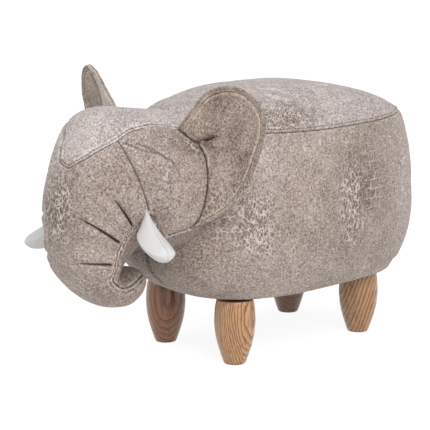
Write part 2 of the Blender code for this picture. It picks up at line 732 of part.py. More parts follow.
def build_panels(shop):
    """Makes the four panels between the posts, flush with the posts' outer faces."""
    outer_x, outer_y = frame_half_size()
    inner_x, inner_y = LEG_SPACING_X / 2 - POST_SIZE / 2 - FIT, LEG_SPACING_Y / 2 - POST_SIZE / 2 - FIT
    for side, sign in (("left", 1), ("right", -1)):
        near, far = sorted((sign * (outer_x - PANEL_THICKNESS), sign * outer_x))
        shop.part(f"side_panel_{side}", box_mesh(
            "side_panel", (near, LEGS_CENTRE_Y - inner_y, BOX_BOTTOM), (far, LEGS_CENTRE_Y + inner_y, BOX_TOP)
        ), "plywood", smooth=False)
    for end, sign in (("front", -1), ("rear", 1)):
        near, far = sorted((sign * (outer_y - PANEL_THICKNESS), sign * outer_y))
        shop.part(f"{end}_panel", box_mesh(
            "end_panel", (-inner_x, LEGS_CENTRE_Y + near, BOX_BOTTOM), (inner_x, LEGS_CENTRE_Y + far, BOX_TOP)
        ), "plywood", smooth=False)


def frame_half_size():
    """Returns half the width and half the length of the posts and panels together."""
    return (LEG_SPACING_X + POST_SIZE) / 2, (LEG_SPACING_Y + POST_SIZE) / 2


def build_body(shop, body):
    """Makes the foam blocks and the cover's seat panel and two side bands."""
    outer_x, outer_y = frame_half_size()
    wide, long = BODY_WIDTH, BODY_LENGTH
    foam_offset = -COVER_THICKNESS - FILLING_EASE
    foam = shop.part("body_foam", body.closed("body_foam", foam_offset), "foam")
    below = shop.cutter("below_foam_cutter", box_mesh(
        "below_foam_cutter", (-wide, -long, 0), (wide, long, BASE_TOP + FIT)
    ))
    above = shop.cutter("above_foam_cutter", box_mesh(
        "above_foam_cutter", (-wide, -long, DECK_BOTTOM - FIT), (wide, long, SEAT_TOP + CUT_OVERRUN)
    ))
    hollow = shop.cutter("foam_hollow_cutter", box_mesh(
        "foam_hollow_cutter",
        (-outer_x - FIT, LEGS_CENTRE_Y - outer_y - FIT, 0),
        (outer_x + FIT, LEGS_CENTRE_Y + outer_y + FIT, SEAT_TOP + CUT_OVERRUN),
    ))
    cut(foam, (below, above, hollow))
    seat = shop.part("seat_foam", body.closed("seat_foam", foam_offset), "foam")
    under = shop.cutter("under_seat_cutter", box_mesh(
        "under_seat_cutter", (-wide, -long, 0), (wide, long, DECK_BOTTOM)
    ))
    deck = shop.cutter("deck_pocket_cutter", plate_mesh("deck_pocket_cutter", [
        oval(DECK_WIDTH + 2 * FIT, DECK_LENGTH + 2 * FIT, BOARD_SQUARENESS, BODY_CENTRE_Y, BOARD_SEGMENTS)
    ], DECK_BOTTOM - CUT_OVERRUN, BOARD_THICKNESS + CUT_OVERRUN + FIT))
    cut(seat, (under, deck))
    half = BODY_COLUMNS // 2
    for side, first in (("left", 0), ("right", half)):
        cells = [(i, j) for i in range(body.seam_row) for j in range(first, first + half)]
        band = shop.part(f"side_band_{side}", body.panel("side_band", cells), "leather")
        thicken(band, COVER_THICKNESS)
    cells = [(i, j) for i in range(body.seam_row, len(body.rings) - 1) for j in range(BODY_COLUMNS)]
    panel = shop.part("seat_panel", body.panel("seat_panel", cells, body.top), "leather")
    thicken(panel, COVER_THICKNESS)


def head_cells():
    """Returns the cells of the head's grid that each cover panel takes."""
    last = len(HEAD_STATIONS) - 1
    crown = range(-CROWN_CELLS, CROWN_CELLS)
    left = range(CROWN_CELLS, CROWN_CELLS + CHEEK_CELLS)
    right = range(-CROWN_CELLS - CHEEK_CELLS, -CROWN_CELLS)
    throat = range(CROWN_CELLS + CHEEK_CELLS, CROWN_CELLS + CHEEK_CELLS + 2 * THROAT_CELLS)
    panels = {
        "crown_panel": [(i, j) for i in range(CROWN_TIP_ROW) for j in crown],
        "cheek_left": [(i, j) for i in range(FACE_SEAM_ROW) for j in left],
        "cheek_right": [(i, j) for i in range(FACE_SEAM_ROW) for j in right],
        "trunk_back_panel": [(i, j) for i in range(last) for j in throat],
    }
    trunk = [(i, j) for i in range(FACE_SEAM_ROW, last) for j in (*left, *right)]
    panels["trunk_front_panel"] = trunk + [(i, j) for i in range(CROWN_TIP_ROW, last) for j in crown]
    return panels


def build_head(shop, head, body_space):
    """Makes the head's and the trunk's filling and their five cover panels."""
    split = FILLING_SPLIT_ROW
    offset = -COVER_THICKNESS - FILLING_EASE
    filling = shop.part("head_filling", head.closed("head_filling", offset, 0, split + 1), "fibre")
    cut(filling, (body_space,))
    shop.part("trunk_filling", head.closed("trunk_filling", offset, split, None, 2 * FIT), "fibre")
    for name, cells in head_cells().items():
        panel = shop.part(name, head.panel(name, cells, name == "trunk_front_panel"), "leather")
        thicken(panel, COVER_THICKNESS)
        if name != "trunk_front_panel":
            cut(panel, (body_space,))


class EarForm:
    """An ear as rings from its centre out to its rim, in the ear's own directions."""

    def __init__(self, side):
        right = side < 0
        sweep = RIGHT_EAR_SWEEP if right else EAR_SWEEP
        self.reach = RIGHT_EAR_REACH if right else EAR_REACH
        lean = RIGHT_EAR_LEAN if right else 0
        moved = np.array((-RIGHT_EAR_INSET, RIGHT_EAR_SHIFT, 0)) if right else np.zeros(3)
        mirror = np.array((side, 1, 1))
        self.out = np.array((math.cos(sweep), math.sin(sweep), 0)) * mirror
        self.forward = np.array((math.sin(sweep), -math.cos(sweep), 0)) * mirror
        self.up = np.array((0, -math.sin(lean), math.cos(lean)))
        self.origin = (np.array((EAR_ORIGIN_X, EAR_ORIGIN_Y, EAR_ORIGIN_Z)) + moved) * mirror
        self.hinge = (np.array((EAR_HINGE_X, EAR_HINGE_Y, EAR_HINGE_Z)) + moved) * mirror

    def place(self, reach, rise, forward):
        """Returns a place from sizes out along the ear, up it and forward of its rim."""
        return self.origin + self.out * reach + self.up * rise + self.forward * forward - self.hinge

    def ring(self, share, face):
        """Returns the ring at a share of the way to the rim, on the face or the back of the ear."""
        centre_out, centre_up = EAR_CENTRE_SHARES
        belly = EAR_BELLY * max(0, 1 - (share / EAR_LIP_SHARE) ** 2)
        ring = []
        for out, up, forward in EAR_OUTLINE_SHARES:
            reach = self.reach * (centre_out + (out - centre_out) * share)
            rise = EAR_RISE * (centre_up + (up - centre_up) * share)
            hollow = EAR_CUP * (forward * share**2 - (1 - share**2))
            ring.append(self.place(reach, rise, hollow + face * (belly + EAR_LIP_GAP / 2)))
        return ring

    def centre(self, face, ease=0):
        """Returns the middle of the ear's face or back, set in by an ease."""
        out, up = EAR_CENTRE_SHARES
        forward = face * (EAR_BELLY + EAR_LIP_GAP / 2 - ease) - EAR_CUP
        return self.place(self.reach * out, EAR_RISE * up, forward)

    def cover(self, name, face):
        """Returns the inner surface of the ear's face or back, as an open sheet."""
        grid = np.array([self.ring(share, face) for share in EAR_RING_SHARES])[::-1]
        rows, columns = grid.shape[:2]
        cells = [(i, j) for i in range(rows - 1) for j in range(columns)]
        mesh = sheet_bmesh(grid, cells, rows - 1, self.centre(face))
        away = -face * self.forward
        face_away(mesh, lambda place: np.array(place) + away)
        return finished(mesh, name)

    def core(self, name):
        """Returns the closed foam core, which ends short of the stitched lip."""
        shift = self.forward * EAR_CORE_EASE
        shares = [share for share in EAR_RING_SHARES if share < EAR_CORE_SHARE] + [EAR_CORE_SHARE]
        front = [np.array(self.ring(share, 1)) - shift for share in shares]
        back = [np.array(self.ring(share, -1)) + shift for share in shares[:-1]]
        rings = np.array(front + back[::-1])
        return closed_mesh(name, rings, self.centre(1, EAR_CORE_EASE), self.centre(-1, EAR_CORE_EASE))


def build_ears(shop, head):
    """Makes each ear's foam core, face and back, clear of the head over their whole swing."""
    skin = head.closed("head_skin_cutter", EAR_ROOT_GAP)
    for side_name, side in (("left", 1), ("right", -1)):
        ear = EarForm(side)
        hinge = bpy.data.objects.new(f"ear_hinge_{side_name}", None)
        hinge.location = ear.hinge
        shop.parts.objects.link(hinge)
        axis = Vector((0, -math.sin(EAR_HINGE_LEAN), -math.cos(EAR_HINGE_LEAN))) * side
        cutters = []
        for swing in (0, EAR_FORWARD_SWING, -EAR_BACKWARD_SWING):
            cutter = shop.cutter(f"head_skin_cutter_{side_name}_{len(cutters)}", skin)
            to_hinge, from_hinge = Matrix.Translation(ear.hinge), Matrix.Translation(-Vector(ear.hinge))
            cutter.matrix_world = to_hinge @ Matrix.Rotation(-swing, 4, axis) @ from_hinge
            cutters.append(cutter)
        core = shop.part(f"ear_core_{side_name}", ear.core("ear_core"), "foam")
        face = shop.part(f"ear_face_{side_name}", ear.cover("ear_face", 1), "leather_inner_ear")
        back = shop.part(f"ear_back_{side_name}", ear.cover("ear_back", -1), "leather")
        thicken(face, COVER_THICKNESS, outward=True)
        thicken(back, COVER_THICKNESS, outward=True)
        for obj in (core, face, back):
            obj.parent = hinge
            cut(obj, cutters)


class TuskForm:
    """A tusk as oval rings along a bowed path from inside the head to its tip."""

    def __init__(self, side, root_height, tip_height):
        root = np.array((side * TUSK_ROOT_X, TUSK_ROOT_Y, root_height))
        tip = np.array((side * TUSK_TIP_X, TUSK_TIP_Y, tip_height))
        bow = np.array((0, 0, -TUSK_BOW))
        self.rings = []
        for t, height, width in TUSK_TAPER_SHARES:
            centre = root + (tip - root) * t + bow * 4 * t * (1 - t)
            along = tip - root + bow * 4 * (1 - 2 * t)
            along /= np.linalg.norm(along)
            across = np.cross(along, (0, 0, 1))
            across /= np.linalg.norm(across)
            up = np.cross(across, along)
            self.rings.append([
                centre + across * math.cos(angle) * width * TUSK_WIDTH / 2
                + up * math.sin(angle) * height * TUSK_HEIGHT / 2
                for angle in (2 * math.pi * j / TUSK_COLUMNS for j in range(TUSK_COLUMNS))
            ])
        self.rings = np.array(self.rings)
        self.centres = self.rings.mean(axis=1)
        self.tip = self.centres[-1] + along * TUSK_WIDTH * TUSK_TAPER_SHARES[-1][1] / 4

    def nearest_centre(self, place):
        """Returns the ring centre that is nearest to a place."""
        return self.centres[int(np.linalg.norm(self.centres - np.array(place), axis=1).argmin())]

    def cover(self, name):
        """Returns the tusk's outer surface, as a sheet that is open at the root."""
        rows = len(self.rings)
        cells = [(i, j) for i in range(rows - 1) for j in range(TUSK_COLUMNS)]
        mesh = sheet_bmesh(self.rings, cells, rows - 1, self.tip)
        face_away(mesh, self.nearest_centre)
        return finished(mesh, name)

    def filling(self, name):
        """Returns the closed filling inside the tusk's cover."""
        offset = -COVER_THICKNESS - FILLING_EASE
        rings = self.rings + surface_normals(self.rings, self.centres[:, None]) * offset
        back = (self.tip - self.centres[-1]) / np.linalg.norm(self.tip - self.centres[-1]) * offset
        return closed_mesh(name, rings, rings[0].mean(axis=0), self.tip + back)


def build_tusks(shop, head_space):
    """Makes each tusk's cover and filling, seated on the head's cover."""
    for side_name, side, root_height, tip_height in (
        ("left", 1, LEFT_TUSK_ROOT_Z, LEFT_TUSK_TIP_Z),
        ("right", -1, RIGHT_TUSK_ROOT_Z, RIGHT_TUSK_TIP_Z),
    ):
        tusk = TuskForm(side, root_height, tip_height)
        cover = shop.part(f"tusk_cover_{side_name}", tusk.cover("tusk_cover"), "tusk_leather")
        thicken(cover, COVER_THICKNESS)
        filling = shop.part(f"tusk_filling_{side_name}", tusk.filling("tusk_filling"), "fibre")
        cut(cover, (head_space,))
        cut(filling, (head_space,))


def main():
    """Builds the footstool in an empty scene."""
    for obj in list(bpy.data.objects):
        bpy.data.objects.remove(obj, do_unlink=True)
    shop = Workshop()
    body, head = BodyForm(), HeadForm()
    body_space = shop.cutter("body_space_cutter", body.closed("body_space_cutter", NECK_GAP))
    head_space = shop.cutter("head_space_cutter", head.closed("head_space_cutter", NECK_GAP))
    build_legs(shop)
    build_frame(shop)
    build_body(shop, body)
    build_head(shop, head, body_space)
    build_ears(shop, head)
    build_tusks(shop, head_space)


if __name__ == "__main__":
    main()
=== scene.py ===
"""Dresses the elephant footstool: padded leather-look covers, their seams and stitches, tusks and turned legs.

Everything is in metres in the CAD's own frame, with the elephant facing -Y and its left side at +X.
"""

import logging
import math
from dataclasses import dataclass, field
from enum import Enum

import bmesh
import bpy
import numpy as np
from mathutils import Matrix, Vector, noise
from mathutils.bvhtree import BVHTree


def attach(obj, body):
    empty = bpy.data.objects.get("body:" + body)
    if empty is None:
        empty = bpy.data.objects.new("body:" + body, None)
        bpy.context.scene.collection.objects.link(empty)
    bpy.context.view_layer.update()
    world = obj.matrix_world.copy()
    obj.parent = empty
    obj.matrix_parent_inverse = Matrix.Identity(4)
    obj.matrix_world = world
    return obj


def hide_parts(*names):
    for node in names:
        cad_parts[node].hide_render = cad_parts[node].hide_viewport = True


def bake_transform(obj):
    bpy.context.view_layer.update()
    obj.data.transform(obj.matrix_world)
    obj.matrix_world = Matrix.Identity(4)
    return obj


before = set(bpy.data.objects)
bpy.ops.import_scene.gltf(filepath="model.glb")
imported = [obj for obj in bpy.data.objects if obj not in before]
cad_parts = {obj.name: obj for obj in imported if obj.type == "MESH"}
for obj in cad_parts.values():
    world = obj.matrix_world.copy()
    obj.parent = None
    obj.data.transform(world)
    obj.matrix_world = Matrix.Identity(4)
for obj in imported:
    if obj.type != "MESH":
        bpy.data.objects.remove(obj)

LOG = logging.getLogger("footstool")
MM = 0.001
UP = (0.0, 0.0, 1.0)
Array = np.ndarray
Colour = tuple[float, float, float]


class Side(Enum):
    """The elephant's left and right."""

    LEFT = 1
    RIGHT = -1

    @property
    def word(self) -> str:
        """The side's name as the CAD nodes write it."""
        return self.name.lower()


class Layer(Enum):
    """The ear's two layers of cloth, and which way each lies."""

    FACE = 1
    BACK = -1


class Join(Enum):
    """How a new mark joins what a skin already has: both count, or only the larger."""

    ADD = "add"
    LARGEST = "largest"


def through(table: object, at: Array) -> Array:
    """Reads a smooth curve through a table's rows.

    Args:
        table: Rows of values.
        at: Places, counted in rows.

    Returns:
        One row of values for each place.
    """
    rows = np.asarray(table, float)
    last = len(rows) - 1
    i = np.clip(at.astype(int), 0, last - 1)
    t = (at - i)[:, None]
    before, start, end, after = rows[np.maximum(i - 1, 0)], rows[i], rows[i + 1], rows[np.minimum(i + 2, last)]
    bend = (end - before) * t + (2 * before - 5 * start + 4 * end - after) * t**2
    return start + (bend + (3 * start - before - 3 * end + after) * t**3) / 2


def loop_through(table: object, count: int) -> Array:
    """Reads evenly spaced points of a smooth closed curve through a table's rows.

    Args:
        table: Rows of values, of which the last joins the first.
        count: How many points to return.

    Returns:
        The points, one a row.
    """
    rows = np.asarray(table, float)
    n = len(rows)
    dense = through(np.vstack([rows[-2:], rows, rows[:3]]), np.linspace(2, n + 2, 40 * n + 1))
    run = run_of(dense[:, :2])
    at = np.linspace(0, run[-1], count, endpoint=False)
    return np.stack([np.interp(at, run, column) for column in dense.T], axis=1)


def step(value: Array, low: float, high: float) -> Array:
    """Rises smoothly from 0 at low to 1 at high."""
    t = np.clip((value - low) / (high - low), 0, 1)
    return t * t * (3 - 2 * t)


def power_wave(angle: Array, squareness: float | Array) -> tuple[Array, Array]:
    """Returns the sine and cosine of an angle round a superellipse.

    Args:
        angle: The angle.
        squareness: 2 for an ellipse, more for a squarer one.

    Returns:
        The sine and the cosine.
    """
    sine, cosine = np.sin(angle), np.cos(angle)
    return (
        np.sign(sine) * np.abs(sine) ** (2 / squareness),
        np.sign(cosine) * np.abs(cosine) ** (2 / squareness),
    )


def gathered(end: float, count: int, places: list[float], width: float, extra: float = 5.0) -> Array:
    """Spreads numbers from 0 to an end, closer together near some places.

    Args:
        end: The last number.
        count: How many numbers to return.
        places: Where they gather.
        width: How far round each place they gather.
        extra: How much denser they are there.

    Returns:
        The numbers, in order.
    """
    dense = np.linspace(0, end, 4000)
    weight = 1 + sum(extra * np.exp(-(((dense - place) / width) ** 2)) for place in places)
    run = np.concatenate([[0], np.cumsum(weight[1:] + weight[:-1])])
    return np.interp(np.linspace(0, run[-1], count), run, dense)


def run_of(points: Array) -> Array:
    """Returns how far along a line of points each point is."""
    return np.concatenate([[0], np.cumsum(np.linalg.norm(np.diff(points, axis=0), axis=-1))])


def unit(vectors: Array) -> Array:
    """Returns vectors at a length of 1."""
    return vectors / np.maximum(np.linalg.norm(vectors, axis=-1, keepdims=True), 1e-12)


def ripple(places: Array, size: float, seed: float) -> Array:
    """Returns smooth noise from -1 to 1.

    Args:
        places: Points, one a row.
        size: How far apart its bumps are.
        seed: Moves the noise, so that pieces differ.

    Returns:
        One value for each point.
    """
    shift = Vector((seed, 2 * seed, 3 * seed))
    return np.array([noise.noise(Vector(place) / size + shift) for place in places.tolist()])


def stretch_grid(coarse: Array, rows: int, columns: int) -> Array:
    """Reads a coarse grid that closes on itself at more rows and columns, smoothly.

    Args:
        coarse: Rows by columns by values.
        rows: How many rows to return.
        columns: How many columns to return.

    Returns:
        The finer grid.
    """
    have_rows, have_columns, values = coarse.shape
    tall = through(coarse.reshape(have_rows, -1), np.linspace(0, have_rows - 1, rows))
    tall = tall.reshape(rows, have_columns, values).transpose(1, 0, 2).reshape(have_columns, -1)
    around = np.vstack([tall[-1:], tall, tall[:2]])
    at = np.linspace(1, have_columns + 1, columns, endpoint=False)
    return through(around, at).reshape(columns, rows, values).transpose(1, 0, 2)


@dataclass
class Trace:
    """A sewn line or a crease over a skin."""

    points: Array
    normals: Array

    def sides(self) -> Array:
        """Returns the unit directions across the line, along the skin.

        Returns:
            One direction for each point.
        """
        along = np.gradient(self.points, axis=0)
        across = np.cross(along, self.normals)
        return unit(across)

    def measure(self, places: Array, reach: float) -> tuple[Array, Array, Array]:
        """Finds how places lie to the line.

        Args:
            places: Points, one a row.
            reach: How far from the line to look.

        Returns:
            The distance, the distance across it with its sign, and the share of the way along it.
        """
        gap = np.full(len(places), 1.0)
        across, along = np.ones(len(places)), np.zeros(len(places))
        low, high = self.points.min(axis=0) - reach, self.points.max(axis=0) + reach
        near = np.flatnonzero(((places > low) & (places < high)).all(axis=1))
        sides = self.sides()
        share = np.linspace(0, 1, len(self.points))
        for part in np.array_split(near, max(1, len(near) // 4000)):
            if not len(part):
                continue
            offset = places[part, None] - self.points[None]
            squares = np.einsum("ijk,ijk->ij", offset, offset)
            nearest = squares.argmin(axis=1)
            gap[part] = np.sqrt(squares[np.arange(len(part)), nearest])
            across[part] = np.einsum("ij,ij->i", offset[np.arange(len(part)), nearest], sides[nearest])
            along[part] = share[nearest]
        return gap, across, along

    def beside(self, distance: float, start: float = 0, end: float = 1) -> Array:
        """Returns the line's points moved sideways, between two shares of its length.

        Args:
            distance: How far to move them.
            start: The first share.
            end: The last share.

        Returns:
            The moved points.
        """
        moved = self.points + self.sides() * distance
        last = len(moved) - 1
        return moved[round(start * last):round(end * last) + 1]


@dataclass
class Skin:
    """A closed skin on a grid whose rows close on themselves, with a tip at each end."""

    grid: Array
    first_tip: Array
    last_tip: Array
    marks: dict[str, Array] = field(default_factory=dict)

    def __post_init__(self) -> None:
        """Keeps the shape before anything is pressed into it, and finds which way is out."""
        self.rest = self.grid.copy()
        self.out = 1.0
        normals = self.normals()
        middle = self.grid.mean(axis=1, keepdims=True)
        self.out = float(np.sign(np.sum(normals * (self.grid - middle))))

    def normals(self) -> Array:
        """Returns the grid's unit normals, which point outwards.

        Returns:
            The normals, in the grid's shape.
        """
        along = np.gradient(self.grid, axis=0)
        around = np.roll(self.grid, -1, axis=1) - np.roll(self.grid, 1, axis=1)
        return unit(np.cross(along, around)) * self.out

    @property
    def places(self) -> Array:
        """The points as they were at rest, one a row."""
        return self.rest.reshape(-1, 3)

    def push(self, amount: Array) -> None:
        """Moves the skin out along its normals by an amount for each point."""
        self.grid = self.grid + self.normals() * amount.reshape(self.grid.shape[:2])[:, :, None]

    def roughen(self, *waves: tuple[float, float, float]) -> None:
        """Pushes the skin by smooth noises, each given as its height, its size and its seed."""
        self.push(sum(height * ripple(self.places, size, seed) for height, size, seed in waves))

    def mark(self, name: str, amount: Array, together: Join = Join.ADD) -> None:
        """Adds to a named value that the material reads, or keeps the larger of the two.

        Args:
            name: The value's name.
            amount: How much at each point.
            together: How it joins the amount that is there.
        """
        flat = amount.reshape(-1)
        held = self.marks.get(name, np.zeros(len(flat)))
        self.marks[name] = np.maximum(held, flat) if together is Join.LARGEST else held + flat

    def ends_of(self, values: Array) -> Array:
        """Returns a value for each vertex of the mesh, with the tips taken from the rows beside them."""
        rows = values.reshape(self.grid.shape[:2])
        return np.concatenate([values.reshape(-1), [rows[0].mean(), rows[-1].mean()]])

    def mesh(self, name: str) -> bpy.types.Mesh:
        """Makes the skin's mesh.

        Args:
            name: The mesh's name.

        Returns:
            A closed, smooth mesh that faces out and carries the marks.
        """
        rows, columns = self.grid.shape[:2]
        index = np.arange(rows * columns).reshape(rows, columns)
        beside = np.roll(index, -1, axis=1)
        quads = np.stack([index[:-1], beside[:-1], beside[1:], index[1:]], axis=-1).reshape(-1, 4)
        first, last = rows * columns, rows * columns + 1
        caps = [(int(b), int(a), first) for a, b in zip(index[0], beside[0])]
        caps += [(int(a), int(b), last) for a, b in zip(index[-1], beside[-1])]
        points = np.vstack([self.grid.reshape(-1, 3), self.first_tip, self.last_tip])
        data = bpy.data.meshes.new(name)
        data.from_pydata(points.tolist(), [], quads.tolist() + caps)
        made = bmesh.new()
        made.from_mesh(data)
        if made.calc_volume(signed=True) < 0:
            bmesh.ops.reverse_faces(made, faces=made.faces)
        made.to_mesh(data)
        made.free()
        data.shade_smooth()
        for mark, values in self.marks.items():
            layer = data.attributes.new(mark, "FLOAT", "POINT")
            layer.data.foreach_set("value", self.ends_of(values).astype(np.float32))
        return data


@dataclass(frozen=True)
class Press:
    """How a seam or a crease presses into a padded skin, with its dark line, painted shade along it and a painted
    highlight beside it.
    """

    depth: float
    width: float
    puff: float = 0.0
    reach: float = 9 * MM
    pucker: float = 0.0
    pucker_size: float = 9 * MM
    dark: float = 0.75
    # shade paints shade along the line, and a pale line where it is below zero; pale paints a highlight on the cloth
    # beside the line.
    shade: float = 0.2
    line: float = 0.7 * MM
    pale: float = 0.0

    def apply(self, skin: Skin, trace: Trace, fade: tuple[float, float] = (0, 0), seed: float = 1) -> None:
        """Presses a line into a skin and marks it for the material, with painted shade along it and a painted highlight
        beside it.

        Args:
            skin: The skin to press.
            trace: The line.
            fade: The shares of the line over which it fades in and out.
            seed: Makes one line's puckers differ from another's.
        """
        gap, _, along = trace.measure(skin.places, 3 * self.reach)
        strength = np.ones_like(along)
        if fade[0]:
            strength *= step(along, 0, fade[0])
        if fade[1]:
            strength *= 1 - step(along, 1 - fade[1], 1)
        spread = gap / self.reach
        dent = -self.depth * np.exp(-((gap / self.width) ** 2))
        dent += self.puff * spread * np.exp(1 - spread) * (gap < 1)
        if self.pucker:
            length = np.linalg.norm(np.diff(trace.points, axis=0), axis=1).sum()
            wave = np.array([noise.noise(Vector((a * length / self.pucker_size, seed, 0))) for a in along.tolist()])
            dent += self.pucker * wave * spread * np.exp(1 - 2 * spread) * 2
        skin.push(dent * strength)
        skin.mark("seam", self.dark * np.exp(-((gap / self.line) ** 4)) * strength, Join.LARGEST)
        # Painted light: a highlight beside the line and shade along it, added to the tone mark.
        beside = np.exp(-(((gap - 2.4 * MM) / (1.2 * MM)) ** 2))
        tone = self.pale * beside - self.shade * np.exp(-((gap / self.width / 2.2) ** 2))
        skin.mark("tone", tone * strength)


@dataclass(frozen=True)
class Patch:
    """A worn or stained patch of the leather; its cool share adds to the mark that carries the cool tint and painted
    sheen.
    """

    place: tuple[float, float, float]
    size: tuple[float, float, float]
    tone: float = 0.0
    crackle: float = 0.0
    grid: float = 0.0
    cool: float = 0.0

    def apply(self, skin: Skin) -> None:
        """Marks the patch on a skin, on both sides of the animal alike.

        Args:
            skin: The skin.
        """
        for sign in (1, -1):
            centre = np.array(self.place) * (sign, 1, 1)
            offset = (skin.places - centre) / self.size
            amount = np.exp(-np.einsum("ij,ij->i", offset, offset))
            skin.mark("tone", self.tone * amount)
            skin.mark("crackle", self.crackle * amount)
            skin.mark("grid", self.grid * amount)
            skin.mark("cool", self.cool * amount)


Socket = bpy.types.NodeSocket
Sockets = bpy.types.NodeOutputs


class Wiring:
    """Adds nodes to a tree and joins them."""

    def __init__(self, tree: bpy.types.NodeTree) -> None:
        """Starts on an empty tree."""
        self.tree = tree
        tree.nodes.clear()

    def node(self, kind: str, inputs: dict | None = None, **settings: object) -> bpy.types.Node:
        """Adds a node.

        Args:
            kind: The node's type.
            inputs: What each input gets, by name or number: a socket to link, or a value.
            settings: The node's own options.

        Returns:
            The node.
        """
        made = self.tree.nodes.new(kind)
        for name, value in settings.items():
            setattr(made, name, value)
        for name, value in (inputs or {}).items():
            socket = made.inputs[name]
            if isinstance(value, Socket):
                self.tree.links.new(value, socket)
            else:
                socket.default_value = value
        return made

    def out(self, kind: str, inputs: dict | None = None, **settings: object) -> Socket:
        """Adds a node and returns its first output."""
        return self.node(kind, inputs, **settings).outputs[0]

    def sum(self, kind: str, *values: object, clamp: bool = False) -> Socket:
        """Adds a Math node of one kind and returns its result."""
        return self.out("ShaderNodeMath", dict(enumerate(values)), operation=kind, use_clamp=clamp)

    def times(self, first: object, second: object, clamp: bool = False) -> Socket:
        """Multiplies two values."""
        return self.sum("MULTIPLY", first, second, clamp=clamp)

    def fit(self, value: object, scale: object, start: object, clamp: bool = False) -> Socket:
        """Multiplies a value by a scale and adds a start."""
        return self.sum("MULTIPLY_ADD", value, scale, start, clamp=clamp)

    def rise(self, value: Socket, low: object, high: object, start: object = 0.0, end: object = 1.0) -> Socket:
        """Maps a value smoothly from one range to another."""
        inputs = {"Value": value, 1: low, 2: high, 3: start, 4: end}
        return self.out("ShaderNodeMapRange", inputs, interpolation_type="SMOOTHSTEP")

    def blend(self, share: object, first: object, second: object, kind: str = "MIX") -> Socket:
        """Blends two colours."""
        made = self.node("ShaderNodeMix", {0: share, 6: first, 7: second}, data_type="RGBA", blend_type=kind)
        return made.outputs[2]

    def noise(self, place: Socket, scale: object, detail: float = 2.0, rough: float = 0.5, warp: float = 0.0) -> Socket:
        """Adds a noise texture and returns its value."""
        inputs = {"Vector": place, "Scale": scale, "Detail": detail, "Roughness": rough, "Distortion": warp}
        return self.out("ShaderNodeTexNoise", inputs)

    def scaled(self, place: Socket, scale: tuple[float, float, float]) -> Socket:
        """Returns a place with each of its three directions scaled."""
        return self.out("ShaderNodeMapping", {"Vector": place, "Scale": scale})

    def wander(
        self, place: Socket, by: Socket, scale: float, detail: float, centre: float, size: float
    ) -> Socket:
        """Moves a place about by a noise.

        Args:
            place: The place.
            by: Where the noise is read.
            scale: The noise's scale.
            detail: How many finer layers the noise has.
            centre: The value of the noise that moves nothing.
            size: How far a change of 1 in the noise moves the place.

        Returns:
            The moved place.
        """
        drift = self.node("ShaderNodeTexNoise", {"Vector": by, "Scale": scale, "Detail": detail}).outputs["Color"]
        drift = self.out("ShaderNodeVectorMath", {0: drift, 1: (centre,) * 3}, operation="SUBTRACT")
        drift = self.out("ShaderNodeVectorMath", {0: drift, "Scale": size}, operation="SCALE")
        return self.out("ShaderNodeVectorMath", {0: place, 1: drift}, operation="ADD")

    def seen(self) -> Socket:
        """Returns 1 for what the camera sees, straight, mirrored or through glass, and 0 for light.

        Returns:
            The output that holds it.
        """
        rays = self.node("ShaderNodeLightPath").outputs
        bent = self.sum("MAXIMUM", rays["Is Glossy Ray"], rays["Is Transmission Ray"])
        return self.sum("MAXIMUM", rays["Is Camera Ray"], bent)

    def mark(self, name: str) -> Socket:
        """Reads a named value from the mesh."""
        return self.node("ShaderNodeAttribute", attribute_name=name, attribute_type="GEOMETRY").outputs["Fac"]


def rgba(colour: Colour) -> tuple[float, float, float, float]:
    """Turns a colour from 0 to 255 as screens write it into the light values that shaders use."""
    linear = [(c / 255 / 12.92) if c <= 10 else ((c / 255 + 0.055) / 1.055) ** 2.4 for c in colour]
    return (*linear, 1.0)


def new_surface(name: str, colours: tuple[str, ...], amounts: tuple[str, ...]) -> Wiring:
    """Starts a shader node group that turns a place into a colour, a roughness and a height.

    Args:
        name: The group's name.
        colours: The names of the colours that it takes.
        amounts: The names of the other values that it takes.

    Returns:
        The wiring on the group.
    """
    tree = bpy.data.node_groups.new(name, "ShaderNodeTree")
    taken = [("Vector", "Vector"), *((name, "Color") for name in colours), *((name, "Float") for name in amounts)]
    given = [("Colour", "Color"), ("Roughness", "Float"), ("Height", "Float")]
    for sockets, way in ((taken, "INPUT"), (given, "OUTPUT")):
        for socket, kind in sockets:
            tree.interface.new_socket(socket, in_out=way, socket_type=f"NodeSocket{kind}")
    return Wiring(tree)


